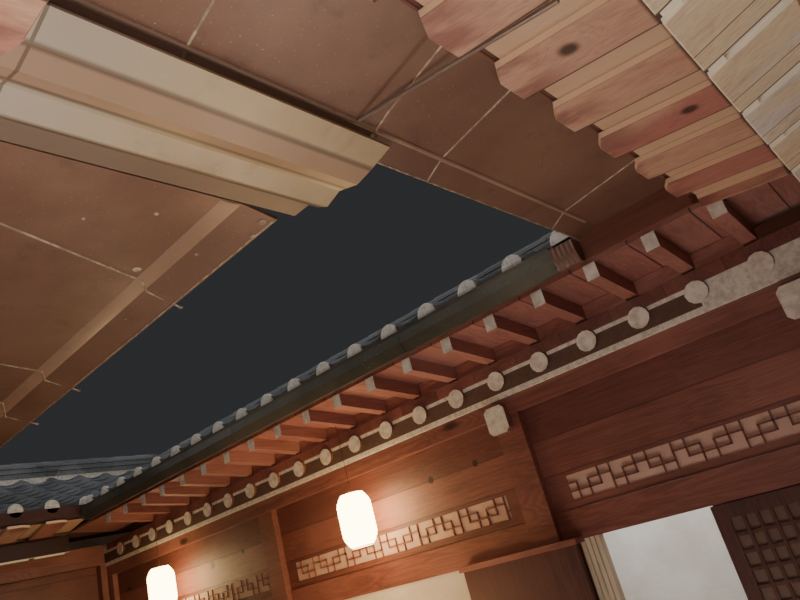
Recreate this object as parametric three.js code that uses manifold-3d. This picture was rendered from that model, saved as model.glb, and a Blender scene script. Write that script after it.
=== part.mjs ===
// Urban courtyard hanok: four tiled timber wings around a narrow yard.
// Millimetres, +Z up, +Y towards the north wing, origin at ground level in the middle of the plan.
import * as THREE from "three";
import { mergeVertices } from "three/addons/utils/BufferGeometryUtils.js";
import Module from "manifold-3d";

const wasm = await Module();
wasm.setup();

const fit = 0.3;                    // working gap between pieces that touch
const past = 10;                    // how far a cutting block stands past what it cuts

// Plan, measured from the centre of the house
const northFace = 1541;             // yard faces of the four walls
const eastFace = 3460;
const southFace = 2145;
const westFace = 3610;
const outerX = 5560;                // outer faces of the party walls
const outerY = 4095;
const outerEaveX = 5960;
const outerEaveY = 4495;
const northEave = 1053;             // yard edges of the tiled roofs
const eastEave = 2790;
const southEave = 1475;
const westEave = 2940;

// Heights
const floorTop = 300;
const sillTop = 365;
const doorHead = 1957;
const lintelTop = 2110;
const friezeTop = 2700;
const northBeamTop = 2795;
const roofEdgeTop = 3305;
const roofRise = 585;
const roofSag = 0.25;               // how hollow the slopes are, as a share of the rise
const roofThick = 160;

// Timber
const postSide = 170;
const postProud = 50;
const northFront = northFace - postProud;
const northBack = northFront + postSide;
const railFront = northFace - 30;
const railBack = railFront + 120;
const lintelFront = northFace - 6;
const beamFront = northFace - 60;
const panelThick = 30;
const wallThick = 90;
const frontDeep = 100;              // posts and rails of the other three fronts
const screenThick = 40;
const screenTop = doorHead + 40;
const endPost = 60;
const plankBeamBottom = friezeTop + 120;

// Fronts of those wings, each in its wing's frame: ends, posts and doorways
const fronts = {
  east: { from: -1480.7, to: 2100.7, posts: [350], doorways: [] },
  south: { from: -3510, to: 3660, posts: [-1700, 100, 1100, 2500], doorways: [[1200, 2400]] },
  west: { from: -2100.7, to: 1480.7, posts: [-300], doorways: [] },
};

// North bays: post centres from east to west, and the transom windows over them
const northPosts = [3495, 2970, 1310, -1010, -3575];
const transomTop = 2285;
const transomBottom = 2153;
const transomMargin = [0, 130, 105, 80];   // post to window, by bay

// Octagonal beam ends at two of the posts
const beamEndPosts = [1, 2];
const beamEndHalf = 69;
const beamEndLow = 2606;
const beamEndHigh = 2765;
const beamEndCut = 22;
const beamEndAside = -34;           // post centre to beam end centre
const beamEndBack = northBack + 200;

// Doorway of the first bay
const jambEdge = 1587;
const jambStrips = 4;
const stripWide = 22;
const stripPitch = 28;
const stripStep = 4;
const leafLeft = 2191;
const leafThick = 30;
const leafStile = 66;
const leafRecess = 9;
const leafClear = 6;
const slideFront = 1548;
const fixedFront = 1594;
const runnerClear = 0.4;
const runnerLong = 60;
const outerPanel = { left: 740, right: 1495, front: 1455, thick: 30, bottom: 365, top: 1943 };
const outerRail = { left: 720, right: 1512, front: 1440, deep: 100, headTop: 1974, footBottom: 300 };

// Rafters of the north wing, one traditional foot apart
const pitch = 303;
const firstRafterX = 2866;
const rafterRadius = 57;
const rafterEndY = 1441;
const rafterTailY = 1760;
const rafterEndZ = 2896;
const rafterSlope = 0.35;
const rafterSides = 12;
const battenFront = 1456;
const battenDeep = 40;
const battenBottom = 2937;
const battenTop = 3002;
const eavesWest = -3480;
const eavesEast = 3280;
const stripFront = 1465;            // plaster between the rafters
const stripBack = 1520;
const stripTop = 2998;
const flyingWide = 65;
const flyingHigh = 78;
const flyingEndY = 1062;
const flyingEndBottom = 3061;
const flyingDip = 0.12;             // flying rafters rise outwards
const flyingTail = 1505;
const flyingWest = -3350;
const flyingEast = 3200;
const boardThick = 20;

// Plank eaves of the east, south and west wings
const plankPitch = 310;
const plankChamfer = 4;
const plankClip = { wide: 70, deep: 32 };   // one corner of each tip of the outer planks is cut off
const outerPlank = { wide: 190, thick: 25, bottom: 3170, slope: -0.13 };
const innerPlank = { wide: 265, thick: 20, bottom: 2950, slope: 0.25 };
const outerTipOut = 20;             // tips stand past the tile edge
const outerTail = 510;
const innerTipIn = 400;
const innerTail = 250;              // past the wall face
const upstandIn = 6;                // inner tips to the upright board over them
const upstandDeep = 44;
const plankBoardThick = 14;
const plankBoardIn = 50;             // tips to the edge of the boards above
const endBoard = { thick: 16, drop: 42 };    // closes the east tier by the north eave
const eaveDepth = 670;              // tile edge to wall face
const beamSetOut = 44;              // wall face to the front of the beam under the planks
const plankBeamTop = innerPlank.bottom + (eaveDepth - innerTipIn - beamSetOut) * innerPlank.slope - fit;

// Roofs and ridge
const ridge = {
  north: (northEave + outerEaveY) / 2,
  east: (eastEave + outerEaveX) / 2,
  south: (southEave + outerEaveY) / 2,
  west: (westEave + outerEaveX) / 2,
};
const fillBehind = 110;             // wall face to the back of the eave's thick edge
const ridgeHalf = 110;
const ridgeProud = 230;

// Rows of cover tiles up the slopes
const rowPitch = 300;
const rowFirst = { north: 1885, east: 150, south: 150, west: 150 };
const rowFoot = 20;                 // how deep a row is bedded
const rowHigh = 52;
const rowHalf = 55;
const rowTopHalf = 28;
const rowSetIn = 12;                // tile edge to the row's end
const rowStop = 125;                // short of the ridge line
const rowMargin = 100;              // no row this near a corner

// Party walls, with a street gate in the south one
const partyThick = 150;
const gateLeft = -2500;
const gateRight = -1100;
const gateSill = 300;
const gateHead = 2250;
const gateSetIn = 50;
const gateBoard = 40;
const gateRailHigh = 90;
const gateRails = [gateSill + 260, gateHead - 400];

// Floors of the east, south and west wings start this far behind the wall face
const floorSetIn = 125;

// Gutter of the north eave
const gutter = { front: 968, back: northEave - fit, bottom: 3148, top: 3273, east: 2140, west: -2880, wall: 8 };
const gutterBend = 57;              // height of the sloping foot of its front
const gutterFoot = 30;              // and how far the foot leans in
const gutterStraps = [1180, -20, -1220, -2420];
const strapHalf = 14;
const cornerEast = 2265;
const cornerRib = 14;
const cornerRibPitch = 26;

// Metal awnings, fixed to the tile edge
const sheetThick = 12;
const lipThick = 16;
const awningRootZ = 3293;
const foldZ = 3291;
const lipZ = 3262;
const eastFold = 2366;
const eastLip = 2269;
const southFoldInner = 685;
const southFoldOuter = 609;
const southLip = 467;
const southAwningEast = 1863;
const southAwningWest = -2900;
const southSplay = 89;              // the lip swings out this much by its west end

// Valley gutter between the awnings: its folds in section, X and underside
const valleyFolds = [
  [2369, 3240], [2276, 3215], [2209, 3203], [2133, 3226], [2066, 3205], [2023, 3228], [2013, 3258], [1912, 3258],
];
const valleyThick = 8;
const valleyEnd = -431;

// Stay rod and lanterns
const stayFrom = [2378, -561, 3285.5];
const stayTo = [3035, -619, 3128];
const stayRadius = 6;
const lanternY = 1305;
const lanternLow = 2240;
const lanternHigh = 2580;
const lanternRadius = 113;
const lanternShoulder = 90;
const lanternMouth = 70;
const hangerRadius = 5;
const lanternRafters = { lantern_east: 9, lantern_west: 17 };

// Colour, roughness and metalness
const colours = {
  redWood: [0x8a4b38, 0.55, 0],
  darkWood: [0x5a2f26, 0.6, 0],
  pine: [0xc08a62, 0.6, 0],
  plaster: [0xe2dccb, 0.9, 0],
  paper: [0xeee3c4, 0.85, 0],
  cream: [0xe6d6b0, 0.6, 0],
  tile: [0x4a4c4e, 0.8, 0],
  brownSheet: [0x7a4a38, 0.4, 0.4],
  beigeSheet: [0xb9a384, 0.45, 0.3],
  charcoalSheet: [0x3a3a34, 0.45, 0.5],
  steel: [0x9a9a98, 0.35, 0.9],
  lantern: [0xf6f2e6, 0.5, 0],
  floor: [0x9a6a48, 0.6, 0],
};

// Wings are drawn with X along the eave and Y outwards from the yard, then turned about the centre
const wings = {
  north: { turn: 0 },
  east: { turn: -90, face: eastFace, eave: eastEave },
  south: { turn: 180, face: southFace, eave: southEave },
  west: { turn: 90, face: westFace, eave: westEave },
};

// The wings at each wing's left and right ends
const ends = { north: ["west", "east"], east: ["north", "south"], south: ["east", "west"], west: ["south", "north"] };

const house = new THREE.Group();

function solidOf(geometry) {
  const bare = geometry.clone();
  bare.deleteAttribute("normal");
  bare.deleteAttribute("uv");
  const merged = mergeVertices(bare, 1e-4);
  const mesh = new wasm.Mesh({
    numProp: 3,
    vertProperties: new Float32Array(merged.attributes.position.array),
    triVerts: new Uint32Array(merged.index.array),
  });
  return new wasm.Manifold(mesh);
}

function geometryOf(solid) {
  const mesh = solid.getMesh();
  const geometry = new THREE.BufferGeometry();
  geometry.setAttribute("position", new THREE.BufferAttribute(new Float32Array(mesh.vertProperties), 3));
  geometry.setIndex(new THREE.BufferAttribute(new Uint32Array(mesh.triVerts), 1));
  geometry.computeVertexNormals();
  return geometry;
}

function box(x0, x1, y0, y1, z0, z1) {
  const geometry = new THREE.BoxGeometry(x1 - x0, y1 - y0, z1 - z0);
  geometry.translate((x0 + x1) / 2, (y0 + y1) / 2, (z0 + z1) / 2);
  return solidOf(geometry);
}

function extrude(points, depth) {
  const shape = new THREE.Shape(points.map(([a, b]) => new THREE.Vector2(a, b)));
  return new THREE.ExtrudeGeometry(shape, { depth, bevelEnabled: false });
}

function axes(first, second, third) {
  const columns = [first, second, third].map((axis) => new THREE.Vector3(...axis));
  return new THREE.Matrix4().makeBasis(...columns);
}

// A section drawn in Y and Z, run along X
function alongX(points, x0, x1) {
  const geometry = extrude(points, x1 - x0);
  geometry.applyMatrix4(axes([0, 1, 0], [0, 0, 1], [1, 0, 0]));
  geometry.translate(x0, 0, 0);
  return solidOf(geometry);
}

// A section drawn in X and Z, run along Y
function alongY(points, y0, y1) {
  const geometry = extrude(points, y1 - y0);
  geometry.applyMatrix4(axes([1, 0, 0], [0, 0, 1], [0, -1, 0]));
  geometry.translate(0, y1, 0);
  return solidOf(geometry);
}

// A plan outline run up Z
function upright(points, z0, z1) {
  const geometry = extrude(points, z1 - z0);
  geometry.translate(0, 0, z0);
  return solidOf(geometry);
}

// A round bar between two points
function rod(from, to, radius, sides) {
  const start = new THREE.Vector3(...from);
  const line = new THREE.Vector3(...to).sub(start);
  const geometry = new THREE.CylinderGeometry(radius, radius, line.length(), sides);
  const turn = new THREE.Quaternion();
  turn.setFromUnitVectors(new THREE.Vector3(0, 1, 0), line.clone().normalize());
  geometry.applyQuaternion(turn);
  const middle = start.add(line.multiplyScalar(0.5));
  geometry.translate(middle.x, middle.y, middle.z);
  return solidOf(geometry);
}

// A solid turned from its wing's frame to the house's
function inHouse(solid, wing) {
  const geometry = geometryOf(solid);
  geometry.rotateZ(THREE.MathUtils.degToRad(wing.turn));
  return solidOf(geometry);
}

function join(solids) {
  return solids.reduce((whole, next) => whole.add(next));
}

function cut(solid, cutters) {
  return cutters.reduce((whole, cutter) => whole.subtract(cutter), solid);
}

function add(name, solid, colour, wing = wings.north) {
  const [color, roughness, metalness] = colours[colour];
  const material = new THREE.MeshStandardMaterial({ color, roughness, metalness });
  const mesh = new THREE.Mesh(geometryOf(solid), material);
  mesh.name = name;
  mesh.rotation.z = THREE.MathUtils.degToRad(wing.turn);
  house.add(mesh);
  return mesh;
}

// North wing: timber front towards the yard
function beamEnd(post, grow) {
  const left = northPosts[post] + beamEndAside - beamEndHalf - grow;
  const right = left + 2 * (beamEndHalf + grow);
  const low = beamEndLow - grow;
  const high = beamEndHigh + grow;
  const outline = [
    [left, low + beamEndCut], [left + beamEndCut, low], [right - beamEndCut, low], [right, low + beamEndCut],
    [right, high - beamEndCut], [right - beamEndCut, high], [left + beamEndCut, high], [left, high - beamEndCut],
  ];
  return alongY(outline, rafterEndY, beamEndBack);
}

function northFrame() {
  const half = postSide / 2;
  const east = northPosts[0] + half;
  const west = northPosts[northPosts.length - 1] - half;
  const postTop = friezeTop + 20;
  const posts = northPosts.map((x) => box(x - half, x + half, northFront, northBack, 0, postTop));
  const beam = box(west, east, beamFront, railBack, friezeTop, northBeamTop);
  const lintel = box(west + 10, east - 10, lintelFront, railBack, doorHead, lintelTop);
  const sill = box(west + 10, east - 10, railFront, railBack, 0, sillTop);
  const beamEnds = beamEndPosts.map((post) => beamEnd(post, 0));
  const outerRails = [[outerPanel.top, outerRail.headTop], [outerRail.footBottom, outerPanel.bottom]].map(([z0, z1]) =>
    box(outerRail.left, outerRail.right, outerRail.front, outerRail.front + outerRail.deep, z0, z1));
  add("north_frame", join([...posts, beam, lintel, sill, ...beamEnds, ...outerRails]), "redWood");
}

function bay(index) {
  const right = northPosts[index] - postSide / 2 - fit;
  const left = northPosts[index + 1] + postSide / 2 + fit;
  return [left, right];
}

// The boarded frieze of one bay, with its transom window
function frieze(index) {
  const [left, right] = bay(index);
  const windowLeft = left + transomMargin[index];
  const windowRight = right - transomMargin[index];
  const back = northFace + panelThick;
  const panel = box(left, right, northFace, back, lintelTop + fit, friezeTop - fit);
  const hole = box(windowLeft, windowRight, northFace - past, back + past, transomBottom, transomTop);
  const notches = beamEndPosts.filter((post) => post === index).map((post) => beamEnd(post, fit));
  add("north_frieze_" + index, cut(panel, [hole, ...notches]), "redWood");
  const front = northFace + 4;
  const sheet = box(windowLeft + fit, windowRight - fit, front, front + 20, transomBottom + fit, transomTop - fit);
  add("north_transom_" + index, sheet, "paper");
}

function latticeLeaf(left, right, front, bottom, top) {
  const leaf = box(left, right, front, front + leafThick, bottom, top);
  const recess = box(
    left + leafStile, right - leafStile, front - past, front + leafRecess, bottom + leafStile, top - leafStile);
  return leaf.subtract(recess);
}

// The stepped jamb: a block by the post, then narrow strips towards the opening
function doorwayJamb() {
  const postRight = northPosts[2] + postSide / 2 + fit;
  const back = northFace + 59;
  const low = sillTop + fit;
  const high = doorHead - fit;
  const parts = [
    box(postRight, jambEdge - jambStrips * stripPitch, northFace + 11, back, low, high),
    box(postRight, jambEdge, back - past, back + 12, low, high),
  ];
  for (let i = 0; i < jambStrips; i += 1) {
    const right = jambEdge - i * stripPitch;
    parts.push(box(right - stripWide, right, northFace + 19 - i * stripStep, back, low, high));
  }
  add("doorway_jamb", join(parts), "cream");
}

function doorLeaves() {
  const [, right] = bay(1);
  const slideLow = sillTop + leafClear;
  const slide = latticeLeaf(leafLeft, right - leafClear, slideFront, slideLow, doorHead - leafClear);
  const runnerFront = slideFront + 8;
  const runners = [leafLeft + runnerLong, right - 2 * runnerLong].map((x) =>
    box(x, x + runnerLong, runnerFront, runnerFront + 14, sillTop + runnerClear, slideLow + 4));
  add("sliding_door_leaf", join([slide, ...runners]), "darkWood");
  const fixed = latticeLeaf(leafLeft, right, fixedFront, sillTop + fit, doorHead - fit);
  add("fixed_door_leaf", fixed, "darkWood");
}

// Panels and plastered walls of the other north bays
function northInfill() {
  const low = sillTop + fit;
  const high = doorHead - fit;
  const back = northFace + wallThick;
  const [left2, right2] = bay(2);
  const [left3, right3] = bay(3);
  const [left0, right0] = bay(0);
  const { left, right, front, thick, bottom, top } = outerPanel;
  add("dark_door_panel", box(left, right, front, front + thick, bottom + fit, top - fit), "darkWood");
  add("north_wall_middle", box(left2, right2, northFace, back, low, high), "plaster");
  add("north_wall_west", box(left3, right3, northFace, back, low, high), "plaster");
  add("north_corner_wall", box(left0, right0, northFace, back, low, high), "plaster");
  const panel = box(left0, right0, northFace, back, lintelTop + fit, friezeTop - fit);
  add("north_corner_panel", panel, "darkWood");
}

// North eaves
function rafterLine(first, last) {
  const places = [];
  for (let n = first; n <= last; n += 1) {
    places.push(firstRafterX - n * pitch);
  }
  return places;
}

// A round rafter with a plumb-cut end, rising inwards
function roundRafter(x, radius, y0, y1) {
  const geometry = new THREE.CylinderGeometry(radius, radius, y1 - y0, rafterSides);
  geometry.translate(x, (y0 + y1) / 2, 0);
  const rise = new THREE.Matrix4().set(
    1, 0, 0, 0,
    0, 1, 0, 0,
    0, rafterSlope, 1, rafterEndZ - rafterSlope * rafterEndY,
    0, 0, 0, 1);
  geometry.applyMatrix4(rise);
  return solidOf(geometry);
}

function northRafters() {
  const places = rafterLine(-1, 20);
  const rafters = places.map((x) => roundRafter(x, rafterRadius, rafterEndY, rafterTailY));
  const back = battenFront + battenDeep;
  const batten = box(eavesWest, eavesEast, battenFront, back, battenBottom, battenTop);
  add("north_rafters", join([...rafters, batten]), "redWood");

  const holes = places.map((x) => roundRafter(x, rafterRadius + fit, stripFront - past, stripBack + past));
  const battenHole = box(
    eavesWest - 2 * past, eavesEast + 2 * past, battenFront, back + fit, battenBottom - fit, battenTop);
  const strip = box(eavesWest - 80, eavesEast + 120, stripFront, stripBack, northBeamTop + fit, stripTop);
  add("north_rafter_plaster", cut(strip, [battenHole, ...holes]), "plaster");
}

// Underside of the flying rafters at a depth Y
function flyingBottom(y) {
  return flyingEndBottom - flyingDip * (Math.min(y, flyingTail) - flyingEndY);
}

function northFlyingRafters() {
  const band = (front, low, high) => [
    [front, flyingBottom(flyingEndY) + low], [flyingTail, flyingBottom(flyingTail) + low],
    [flyingTail, flyingBottom(flyingTail) + high], [front, flyingBottom(flyingEndY) + high],
  ];
  const half = flyingWide / 2;
  const section = band(flyingEndY, 0, flyingHigh);
  const rafters = rafterLine(0, 18).map((x) => alongX(section, x - half, x + half));
  const boards = alongX(band(flyingEndY + 4, flyingHigh - 1, flyingHigh + boardThick), flyingWest, flyingEast);
  add("north_flying_rafters", join([...rafters, boards]), "redWood");
}

// The box gutter along the north eave
function northGutter() {
  const { front, back, bottom, top, east, west, wall } = gutter;
  const outline = [
    [back, bottom + 10], [back, top], [back - wall, top],
    [back - wall, bottom + wall + 12], [front + gutterFoot + 4, bottom + wall + 2],
    [front + wall, bottom + gutterBend], [front + wall, top],
    [front - 6, top], [front, top - 16],
    [front, bottom + gutterBend], [front + gutterFoot, bottom],
  ];
  const trough = alongX(outline, west, east);
  const caps = [west, east - wall].map((x) => box(x, x + wall, front + 2, back - 2, bottom + 12, top - 4));
  const straps = gutterStraps.map((x) => box(x - strapHalf, x + strapHalf, front + 2, back - 2, top - 12, top - 2));
  add("north_gutter", join([trough, ...caps, ...straps]), "charcoalSheet");
}

// The ribbed casing where the gutter meets the east awning
function gutterCorner() {
  const { front, back, bottom, top, east } = gutter;
  const parts = [box(east + fit, cornerEast, front, back, bottom + 10, top - 20)];
  for (let x = east + 12; x < cornerEast - 20; x += cornerRibPitch) {
    parts.push(box(x, x + cornerRib, front - 8, back - 10, bottom + 4, top - 12));
  }
  add("gutter_corner_piece", join(parts), "brownSheet");
}

// One tier of plank rafters: tip and tail in depth, starts along the eave
function plankTier(plank, tip, tail, starts) {
  const under = (y) => plank.bottom + (y - tip) * plank.slope;
  const section = [
    [tip + plankChamfer, under(tip + plankChamfer)], [tail, under(tail)],
    [tail, under(tail) + plank.thick], [tip, under(tip) + plank.thick], [tip, under(tip) + plankChamfer],
  ];
  return starts.map((x) => alongX(section, x, x + plank.wide));
}

// The boards laid on a tier, set back from its tips
function plankBoards(plank, tip, tail, from, to) {
  const over = (y) => plank.bottom + (y - tip) * plank.slope + plank.thick;
  const edge = tip + plankBoardIn;
  return alongX([
    [edge, over(edge) - 1], [tail, over(tail) - 1],
    [tail, over(tail) + plankBoardThick], [edge, over(edge) + plankBoardThick],
  ], from, to);
}

// A board on edge across the end of the outer tier
function tierEnd(tip, tail, from) {
  const under = (y) => outerPlank.bottom + (y - tip) * outerPlank.slope - endBoard.drop;
  const high = endBoard.drop + outerPlank.thick;
  return alongX([
    [tip, under(tip)], [tail, under(tail)], [tail, under(tail) + high], [tip, under(tip) + high],
  ], from - endBoard.thick, from + 1);
}

function plankStarts(from, to, wide, phase) {
  const starts = [];
  const first = phase + Math.ceil((from - phase) / plankPitch) * plankPitch;
  for (let x = first; x + wide <= to; x += plankPitch) {
    starts.push(x);
  }
  return starts;
}

function plankEave(name, from, to, outerPhase, innerPhase) {
  const { eave, face } = wings[name];
  const outerTip = eave - outerTipOut;
  const outerEnd = eave + outerTail;
  const innerTip = eave + innerTipIn;
  const innerEnd = face + innerTail;
  const outerStarts = plankStarts(from, to, outerPlank.wide, outerPhase);
  const innerStarts = plankStarts(from, to, innerPlank.wide, innerPhase);
  const clips = outerStarts.map((x) => upright([
    [x + outerPlank.wide + past, outerTip - past], [x + outerPlank.wide + past, outerTip + plankClip.deep],
    [x + outerPlank.wide, outerTip + plankClip.deep], [x + outerPlank.wide - plankClip.wide, outerTip],
    [x + outerPlank.wide - plankClip.wide, outerTip - past],
  ], outerPlank.bottom - past, outerPlank.bottom + outerPlank.thick + past));
  const outer = plankTier(outerPlank, outerTip, outerEnd, outerStarts).map((plank, i) => plank.subtract(clips[i]));
  const inner = plankTier(innerPlank, innerTip, innerEnd, innerStarts);

  const outerBoards = plankBoards(outerPlank, outerTip, outerEnd, from, to);
  const upstandFront = innerTip + upstandIn;
  const upstandBack = upstandFront + upstandDeep;
  const closing = name === "east" ? [tierEnd(outerTip + plankBoardIn, upstandFront - fit, from)] : [];
  add(name + "_flying_planks", join([...outer, outerBoards, ...closing]), "pine", wings[name]);

  const upstandLow = innerPlank.bottom + innerPlank.thick - 1;
  const upstandHigh = outerPlank.bottom + (upstandBack - outerTip) * outerPlank.slope - fit;
  const upstand = box(from, to, upstandFront, upstandBack, upstandLow, upstandHigh);
  const innerBoards = plankBoards(innerPlank, innerTip, innerEnd, from, to);
  add(name + "_rafter_planks", join([...inner, innerBoards, upstand]), "pine", wings[name]);
}

// Fronts of the other three wings: posts, rails, frieze and lattice screens behind the posts
function plainFront(name) {
  const { from, to, posts, doorways } = fronts[name];
  const wing = wings[name];
  const half = postSide / 2;
  const front = wing.face - postProud;
  const back = front + frontDeep;
  const railAt = front + 20;
  const parts = [
    ...posts.map((x) => box(x - half, x + half, front, back, 0, plankBeamTop - 40)),
    ...[from, to - endPost].map((x) => box(x, x + endPost, front + 10, back, 0, plankBeamTop - 20)),
    box(from, to, wing.face - beamSetOut, front + postSide, plankBeamBottom, plankBeamTop),
    box(from, to, railAt, back, doorHead, lintelTop),
    box(from, to, railAt, back, 0, sillTop),
  ];
  const steps = doorways.map(([a, b]) => box(a, b, front - past, back + past, floorTop, sillTop + past));
  add(name + "_frame", cut(join(parts), steps), "redWood", wing);

  const panelFront = back + fit;
  const panelBack = panelFront + screenThick;
  const panel = box(from, to, panelFront, panelBack, screenTop, plankBeamBottom - fit);
  add(name + "_frieze", panel, "darkWood", wing);
  const screen = box(from, to, panelFront, panelBack, floorTop + fit, screenTop - fit);
  const holes = doorways.map(([a, b]) =>
    box(a, b, panelFront - past, panelBack + past, floorTop - past, doorHead - 20));
  add(name + "_screens", cut(screen, holes), "paper", wing);
}

// Roofs: each wing's two slopes in section, cut on the mitre lines to its neighbours
function mitreOutline(name) {
  const corners = {
    ne: { inner: [eastEave, northEave], ridge: [ridge.east, ridge.north], outer: [outerEaveX, outerEaveY] },
    nw: { inner: [-westEave, northEave], ridge: [-ridge.west, ridge.north], outer: [-outerEaveX, outerEaveY] },
    se: { inner: [eastEave, -southEave], ridge: [ridge.east, -ridge.south], outer: [outerEaveX, -outerEaveY] },
    sw: { inner: [-westEave, -southEave], ridge: [-ridge.west, -ridge.south], outer: [-outerEaveX, -outerEaveY] },
  };
  const cornersOf = { north: ["nw", "ne"], east: ["ne", "se"], south: ["se", "sw"], west: ["sw", "nw"] };
  const [a, b] = cornersOf[name].map((key) => corners[key]);
  const outline = [a.inner, a.ridge, a.outer, b.outer, b.ridge, b.inner];
  const turn = THREE.MathUtils.degToRad(-wings[name].turn);
  return outline.map(([x, y]) => {
    const point = new THREE.Vector2(x, y).rotateAround(new THREE.Vector2(0, 0), turn);
    return [point.x - Math.sign(point.x) * fit, point.y];
  });
}

// Height of a slope's surface at a share of the way up, as a share of the rise
function hollow(share) {
  return share - roofSag * share * (1 - share);
}

// A roof in section; fillBottom gives the underside of its thick yard edge, back to fillY
function roofSection(eave, ridgeY, outerEave, fillBottom, fillY) {
  const ridgeZ = roofEdgeTop + roofRise;
  const slope = roofRise / (ridgeY - eave);
  const under = roofEdgeTop - roofThick + (fillY - eave) * slope;
  const top = (from) => [0, 0.25, 0.5, 0.75, 1].map((t) =>
    [from + (ridgeY - from) * t, roofEdgeTop + roofRise * hollow(t)]);
  return [
    [eave, fillBottom(eave)], [fillY, fillBottom(fillY)], [fillY, under],
    [ridgeY, ridgeZ - roofThick], [outerEave, roofEdgeTop - roofThick],
    ...top(outerEave), ...top(eave).reverse().slice(1),
  ];
}

// One row of cover tiles at X = 0, up a slope from its eave, narrower at the top
function coverRow(from, ridgeY) {
  const run = ridgeY - from;
  const share = (length) => length / Math.abs(run);
  const surface = (t) => [from + run * t, roofEdgeTop + roofRise * hollow(t)];
  const line = [share(rowSetIn), 0.25, 0.5, 0.75, 1 - share(rowStop)].map(surface);
  const over = line.map(([y, z]) => [y, z + rowHigh]);
  const under = line.map(([y, z]) => [y, z - rowFoot]).reverse();
  const geometry = geometryOf(alongX([...over, ...under], -rowHalf, rowHalf));
  const place = geometry.attributes.position;
  for (let i = 0; i < place.count; i += 1) {
    if (over.some(([y, z]) => Math.hypot(place.getY(i) - y, place.getZ(i) - z) < fit)) {
      place.setX(i, Math.sign(place.getX(i)) * rowTopHalf);
    }
  }
  return geometry;
}

// Rows of one slope, to this far on either side
function coverRows(name, from, left, right) {
  const row = coverRow(from, ridge[name]);
  const low = rowMargin - left;
  const rows = [];
  const first = rowFirst[name] - Math.floor((rowFirst[name] - low) / rowPitch) * rowPitch;
  for (let x = first; x < right - rowMargin; x += rowPitch) {
    rows.push(solidOf(row.clone().translate(x, 0, 0)));
  }
  return join(rows);
}

function roof(name, eave, outerEave, fillBottom, fillY) {
  const section = roofSection(eave, ridge[name], outerEave, fillBottom, fillY);
  const slab = alongX(section, -outerEaveX - past, outerEaveX + past);
  const [left, right] = ends[name];
  const outerReach = name === "north" || name === "south" ? outerEaveX : outerEaveY;
  const inner = coverRows(name, eave, ridge[left], ridge[right]);
  const outer = coverRows(name, outerEave, outerReach, outerReach);
  const whole = join([slab, inner, outer]);
  const mitred = whole.intersect(upright(mitreOutline(name), 3000, 4400));
  add(name + "_roof", mitred, "tile", wings[name]);
}

function roofs() {
  const northFill = (y) => flyingBottom(y) + flyingHigh + boardThick + fit;
  const plankTop = outerPlank.bottom + outerPlank.thick + plankBoardThick + fit;
  const plankFill = (eave) => (y) =>
    plankTop + outerPlank.slope * (Math.min(y, eave + outerTail) - eave + outerTipOut);
  roof("north", northEave, outerEaveY, northFill, northFace + 70);
  for (const [name, outerEave] of [["east", outerEaveX], ["south", outerEaveY], ["west", outerEaveX]]) {
    const { eave, face } = wings[name];
    roof(name, eave, outerEave, plankFill(eave), face + fillBehind);
  }
}

// The ridge stack runs round the four wings; between its corners it beds on both slopes
function ridgeStack() {
  const low = roofEdgeTop + roofRise + fit;
  const high = roofEdgeTop + roofRise + ridgeProud;
  const ring = (half, grow) => box(
    -ridge.west - half, ridge.east + half, -ridge.south - half, ridge.north + half, low - grow, high + grow);
  const beds = Object.entries(ends).map(([name, [left, right]]) => {
    const run = Math.abs(ridge[name] - (wings[name].eave ?? northEave));
    const drop = ridgeHalf * roofRise * (1 - hollow(0.75)) / (run / 4);
    const at = ridge[name];
    const section = [
      [at - ridgeHalf, low - drop], [at, low], [at + ridgeHalf, low - drop],
      [at + ridgeHalf, low + 2], [at - ridgeHalf, low + 2],
    ];
    return inHouse(alongX(section, 2 * ridgeHalf - ridge[left], ridge[right] - 2 * ridgeHalf), wings[name]);
  });
  add("ridge_stack", join([ring(ridgeHalf, 0).subtract(ring(-ridgeHalf, past)), ...beds]), "tile");
}

// The space under the four outer slopes
function underOuterSlopes() {
  const low = roofEdgeTop - roofThick - 0.5;
  const rise = 600;
  const profile = (outerEave, ridgeAt) => {
    const inner = outerEave - rise * (outerEave - ridgeAt) / roofRise;
    return [
      [-outerEave, -past], [outerEave, -past], [outerEave, low],
      [inner, low + rise], [-inner, low + rise], [-outerEave, low],
    ];
  };
  const northSouth = alongX(profile(outerEaveY, Math.min(ridge.north, ridge.south)), -outerEaveX, outerEaveX);
  const eastWest = alongY(profile(outerEaveX, Math.min(ridge.east, ridge.west)), -outerEaveY, outerEaveY);
  return northSouth.intersect(eastWest);
}

// Party walls: plain, their tops cut to the roof's underside
function partyWalls() {
  const under = underOuterSlopes();
  const top = roofEdgeTop + roofRise / 2;
  const inX = outerX - partyThick;
  const inY = outerY - partyThick;
  const wall = (x0, x1, y0, y1) => box(x0, x1, y0, y1, 0, top).intersect(under);
  add("north_party_wall", wall(-outerX, outerX, inY, outerY), "plaster");
  add("east_party_wall", wall(inX, outerX, -inY + fit, inY - fit), "plaster");
  add("west_party_wall", wall(-outerX, -inX, -inY + fit, inY - fit), "plaster");
  const gateway = box(gateLeft, gateRight, -outerY - past, -inY + past, gateSill, gateHead);
  add("south_party_wall", wall(-outerX, outerX, -outerY, -inY).subtract(gateway), "plaster");
}

function gateLeaf(x0, x1) {
  const front = -outerY + gateSetIn;
  const boardBack = front + gateBoard;
  const boards = box(x0, x1, front, boardBack, gateSill + fit, gateHead - fit);
  const rails = gateRails.map((z) => box(x0, x1, boardBack, boardBack + gateBoard, z, z + gateRailHigh));
  return join([boards, ...rails]);
}

function streetGate() {
  const middle = (gateLeft + gateRight) / 2;
  add("street_gate_left", gateLeaf(gateLeft + fit, middle - fit), "darkWood");
  add("street_gate_right", gateLeaf(middle + fit, gateRight - fit), "darkWood");
}

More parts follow.
